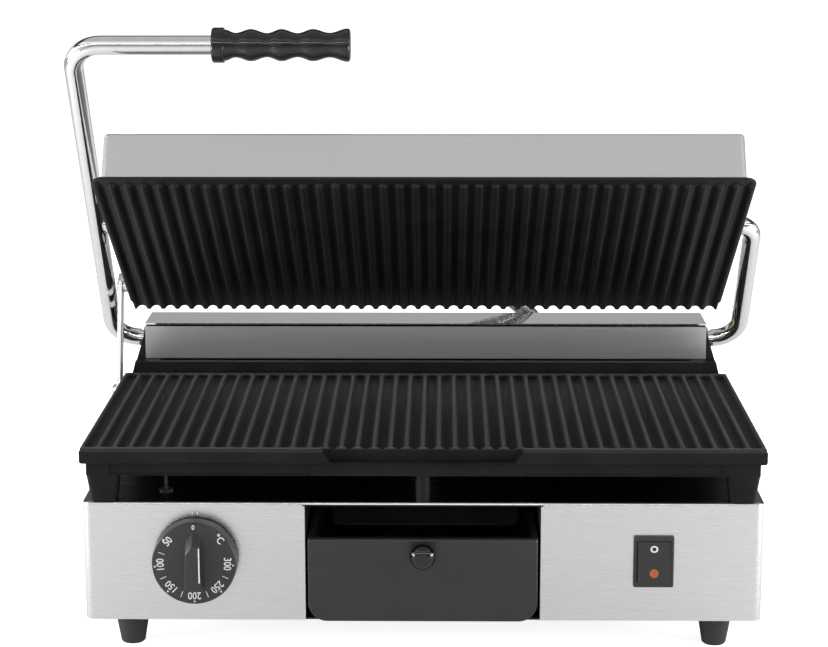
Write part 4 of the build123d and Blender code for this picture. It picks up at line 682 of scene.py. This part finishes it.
# Drip drawer: black enamelled sheet with a turned knob, in a bay painted near black as shade.
# The strip over its mouth is the housing's own steel edge, with a painted highlight along its upper
# fold and painted shade below it.
def worn(name, dark, light, roughness, metallic=0.0, size=120, tint=(1.0, 1.0, 1.0)):
    """A plain finish with uneven shade and gloss."""
    finish = Finish(name, light, roughness, metallic)
    spot = finish.noise(size, detail=4, roughness=0.6)
    low, high = [tuple(level * part for part in tint) + (1.0,) for level in (dark, light)]
    finish.set(Base_Color=finish.mix(finish.steps(spot, 0.3, 0.7), low, high))
    finish.set(Roughness=roughness - 0.06 + 0.12 * spot)
    return finish


dress(worn("black enamel", 0.012, 0.016, 0.34, size=40), "drawer_front", "drawer_tray")
# Painted shade: the bay and the steel base plate are coloured near black for the shade inside the housing.
dress(worn("dark bay", 0.004, 0.008, 0.6, size=60), "drawer_bay", "base_plate")
dress(worn("glossy knob", 0.003, 0.005, 0.06, size=200), "drawer_knob")
folded = Finish("folded edge", 0.7, 0.3, 0.6)
# Painted highlight on the strip's top millimetre, and painted shade in near black below it.
lip = folded.steps(past(folded, (0, 0, 1), DECK), -0.0013, -0.0009)
hair = folded.noise(1.0, (9, 2300, 2300), detail=2)
folded.set(Base_Color=folded.mix(lip, grey(0.012), grey(0.8)), Roughness=0.3 + 0.1 * hair)
dress(folded, "deck_strip")

# Dial: a moulded black cup with a raised bar that points at the figures. Its figures, ticks and
# arrows are printed white, and a white line runs down the bar's right edge.
DIAL = (-160.6, -149.4, 71.0)
FACE = 11.5  # the cup's face, before the panel
CUP = ((0, 30.1), (1.2, 30.05), (10.2, 29.75), (10.8, 29.6), (11.2, 29.35), (11.42, 29.0), (FACE, 28.6))
BAR_LOW, BAR_HIGH, BAR_FRONT = -18.5, 24.5, 22.4

cup = turned(CUP, 96)
close(30)
pointer = box((-8.6, BAR_LOW, 10.5), (8.6, BAR_HIGH, BAR_FRONT))
for way in (-1, 1):
    trim((way * 6.0, 15, 10.5), (way, 0.043, 0.13), fill=True)
    trim((0, BAR_HIGH, FACE), (way * 0.74, 0.56, 0.42), fill=True)
trim((0, BAR_LOW, 10.5), (0, -1, 0.2), fill=True)
pick("EDGE", lambda at, edge: at.z > 11)
round_off(0.7, 3)
close(30)
dial = settle(join(cup, pointer), "dial", DIAL, (90, 0, 0), 30)
moulded = Finish("moulded dial", 0.02, 0.36)
pebble = moulded.noise(900, detail=2)
moulded.set(Roughness=0.30 + 0.16 * pebble, Base_Color=moulded.mix(pebble, grey(0.014), grey(0.022)))
moulded.relief(pebble, 0.00005, 0.5)
hand_over(dial, moulded, "dial", "black_plastic", "dial_knob")

PRINT = 0.05  # half the thickness of the print
RING_RISE, RING_STRETCH = 1.0, 1.03  # the figures' ring is a little above the middle, and taller
FIGURES = ((50, "50"), (94, "100"), (137, "150"), (180, "200"), (223, "250"), (268, "300"))
TICKS = (71, 115, 158, 202, 246)


def printed(mark, angle, place=(0, 0, 0), squeeze=1):
    """Turn a mark to its angle, to the left of the dial's top, and weld it."""
    take_up(mark)
    mark.location = place
    mark.rotation_euler = (0, 0, math.radians(angle))
    mark.scale = (squeeze, 1, 1)
    bpy.ops.object.transform_apply(location=True, rotation=True, scale=True)
    edit(mark)
    weld(0.001)
    return mark


def written(words, size, radius, angle):
    """A word on the dial's face, with its top outwards."""
    put_down()
    bpy.ops.object.text_add()
    text = bpy.context.object
    text.data.body = words
    text.data.size = size
    text.data.align_x = "CENTER"
    text.data.align_y = "CENTER"
    text.data.extrude = PRINT
    text.data.offset = 0.07
    text.data.resolution_u = 4
    bpy.ops.object.convert(target="MESH")
    turn = math.radians(angle)
    place = (-radius * math.sin(turn), RING_RISE + RING_STRETCH * radius * math.cos(turn), FACE)
    return printed(text, angle, place, squeeze=0.86)


prints = [written("0", 4.8, 24.9, 0), written("°C", 7.4, 24.4, -47)]
for angle, figure in FIGURES:
    prints.append(written(figure, 7.4, 23.4, angle))
    arrow = begin(bpy.ops.mesh.primitive_cylinder_add, (0, 27.6, FACE), vertices=3, radius=1.0,
                  depth=2 * PRINT)
    prints.append(printed(arrow, angle))
for angle in TICKS:
    tick = box((-0.22, 21.7, FACE - 0.03), (0.22, 26.3, FACE + 0.07))
    prints.append(printed(tick, angle))
prints.append(box((4.3, -10.5, BAR_FRONT - 0.03), (5.2, 15.0, BAR_FRONT + 0.07)))
marks = settle(join(*prints), "dial_figures", DIAL, (90, 0, 0))
white = worn("white print", 0.62, 0.72, 0.5, size=300)
hand_over(marks, white, "dial", "black_plastic")
dress(worn("turned shaft", 0.4, 0.5, 0.3, 1.0), "dial_shaft", "index_rivet")

# Rocker switch: a snapped in bezel and a rocker, both moulded. The rocker has a printed ring at
# its top and a lamp under an orange lens at its foot.
switch = Finish("switch plastic", 0.02, 0.3)
satin = switch.noise(700, detail=2)
switch.set(Roughness=0.26 + 0.14 * satin, Base_Color=switch.mix(satin, grey(0.014), grey(0.020)))
dress(switch, "switch_body", "rocker")
LENS_DARK, LENS_LIGHT = (0.24, 0.04, 0.018, 1.0), (0.45, 0.10, 0.045, 1.0)
orange = Finish("orange lens", 0.09, 0.2)
cells = orange.noise(500, detail=2)
orange.set(Base_Color=orange.mix(cells, LENS_DARK, LENS_LIGHT), Roughness=0.16 + 0.1 * cells)
dress(orange, "switch_lamp")
begin(bpy.ops.mesh.primitive_torus_add, major_segments=40, minor_segments=8, major_radius=2.05,
      minor_radius=0.55)
bpy.ops.transform.resize(value=(1.06, 0.94, 0.3), center_override=(0, 0, 0))
mark = settle(close(), "rocker_ring", (163.1, -150.75, 79.4), (81.5, 0, 0))
hand_over(mark, white, "switch_rocker", "switch_black")

# Feet: tapered moulded rubber, each on a screw through the base plate. The grommet where the
# capillary passes the deck is the same rubber.
rubber = Finish("foot rubber", 0.02, 0.7)
bloom = rubber.noise(160, detail=4)
rubber.set(Base_Color=rubber.mix(bloom, grey(0.013), grey(0.024)), Roughness=0.55 + 0.2 * bloom)
dress(rubber, "rubber_feet", "deck_grommet")

# Conduit: a tightly ribbed steel hose from an elbow on the hinge box to one on the lid, cut in two
# halves at a point midway along it.
RING = 1.6  # from one rib of the hose to the next
RINGS = 87
ROOT, CREST = 6.8, 7.45  # radius between the ribs and on them
# Each bead of the route: its place, then the handle before it and the one after it
ROUTE = (
    ((90.632, 148.6, 178.404), (95, 148.6, 173.5), (87.3, 148.6, 182.1)),
    ((80.595, 148.6, 189.551), (83.9, 148.6, 185.8), (60.521, 148.6, 211.845)),
    ((10, 127.334, 241.567), (10, 184.675, 201.417), (10, 123.2, 244.4)),
    ((10, 115.047, 250.171), (10, 119.1, 247.3), (10, 111, 253)),
)
MIDWAY = (40.0, 158.0, 211.0)
BACK_DOWN = Vector((0.84, -0.2, -0.5))  # along the hose at MIDWAY, towards the hinge box

ribbed = turned(((0, ROOT), (0.3, CREST), (1.2, CREST), (RING, ROOT)), 36)
pick("FACE", lambda at, face: abs(face.normal.z) > 0.99)
bpy.ops.mesh.delete(type="FACE")
repeat(ribbed, RINGS, (0, 0, RING))
for far_end in (False, True):
    edit(ribbed)
    pick("EDGE", lambda at, edge: edge.is_boundary and (at.z > RING * RINGS / 2) == far_end)
    bpy.ops.mesh.edge_face_add()
close(40)
route = bpy.data.curves.new("route", "CURVE")
route.dimensions = "3D"
route.resolution_u = 64
path = route.splines.new("BEZIER")
path.bezier_points.add(len(ROUTE) - 1)
for bead, (place, before, after) in zip(path.bezier_points, ROUTE):
    bead.handle_left_type = bead.handle_right_type = "FREE"
    bead.co, bead.handle_left, bead.handle_right = place, before, after
track = bpy.data.objects.new("route", route)
scene.collection.objects.link(track)
modify(ribbed, "CURVE", object=track, deform_axis="POS_Z")
bpy.data.objects.remove(track)
take_up(ribbed)
bpy.ops.object.duplicate()
upper = bpy.context.object
hose = worn("ribbed hose", 0.42, 0.55, 0.28, 1.0, size=300)
for part, outward, name in ((ribbed, -BACK_DOWN, "hose_lower"), (upper, BACK_DOWN, "hose_upper")):
    edit(part)
    trim(MIDWAY, outward, fill=True)
    close(40)
    settle(part, name, angle=40)
    part.data.materials.append(hose.material)
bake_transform(ribbed)
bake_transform(upper)
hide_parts("conduit")
dress(worn("plated elbow", 0.40, 0.5, 0.32, 1.0), "box_elbow", "lid_elbow")

# Fasteners and works: zinc plated screws, bronze bushes, a sprung wire, the heating elements
# with their clamps, the thermostat and its capillary, and the moulded terminal block and gland.
WOOL, CERAMIC = (1.0, 0.96, 0.86), (1.0, 0.98, 0.93)
BRONZE, BRASS = (1.0, 0.72, 0.42), (1.0, 0.8, 0.45)
dress(worn("zinc plate", 0.42, 0.55, 0.36, 1.0, size=220), "foot_screws", "foot_nuts", "plate_bolts",
      "hinge_bolts", "ear_screws", "hinge_cover_screws", "drawer_knob_screw")
dress(worn("shield sheet", 0.35, 0.45, 0.42, 1.0), "lower_shield", "lower_clamps", "upper_clamps")
dress(worn("turned bronze", 0.45, 0.6, 0.34, 1.0, tint=BRONZE), "hinge_bushes")
dress(worn("spring wire", 0.22, 0.3, 0.3, 1.0), "counterbalance_spring", "spring_collar", "bearing_caps")
dress(worn("heater sheath", 0.08, 0.14, 0.5, 1.0), "lower_element", "upper_element")
dress(worn("mineral wool", 0.35, 0.55, 0.95, size=60, tint=WOOL), "lid_insulation")
dress(worn("dark capillary", 0.012, 0.02, 0.5), "capillary")
dress(worn("drawn tube", 0.4, 0.5, 0.35, 1.0), "lead_tube", "thermostat_body")
dress(worn("glazed ceramic", 0.6, 0.75, 0.3, tint=CERAMIC), "terminal_block")
dress(worn("brass tab", 0.5, 0.62, 0.32, 1.0, tint=BRASS), "switch_tabs")
dress(worn("moulded gland", 0.014, 0.022, 0.5), "cable_gland", "gland_nut")
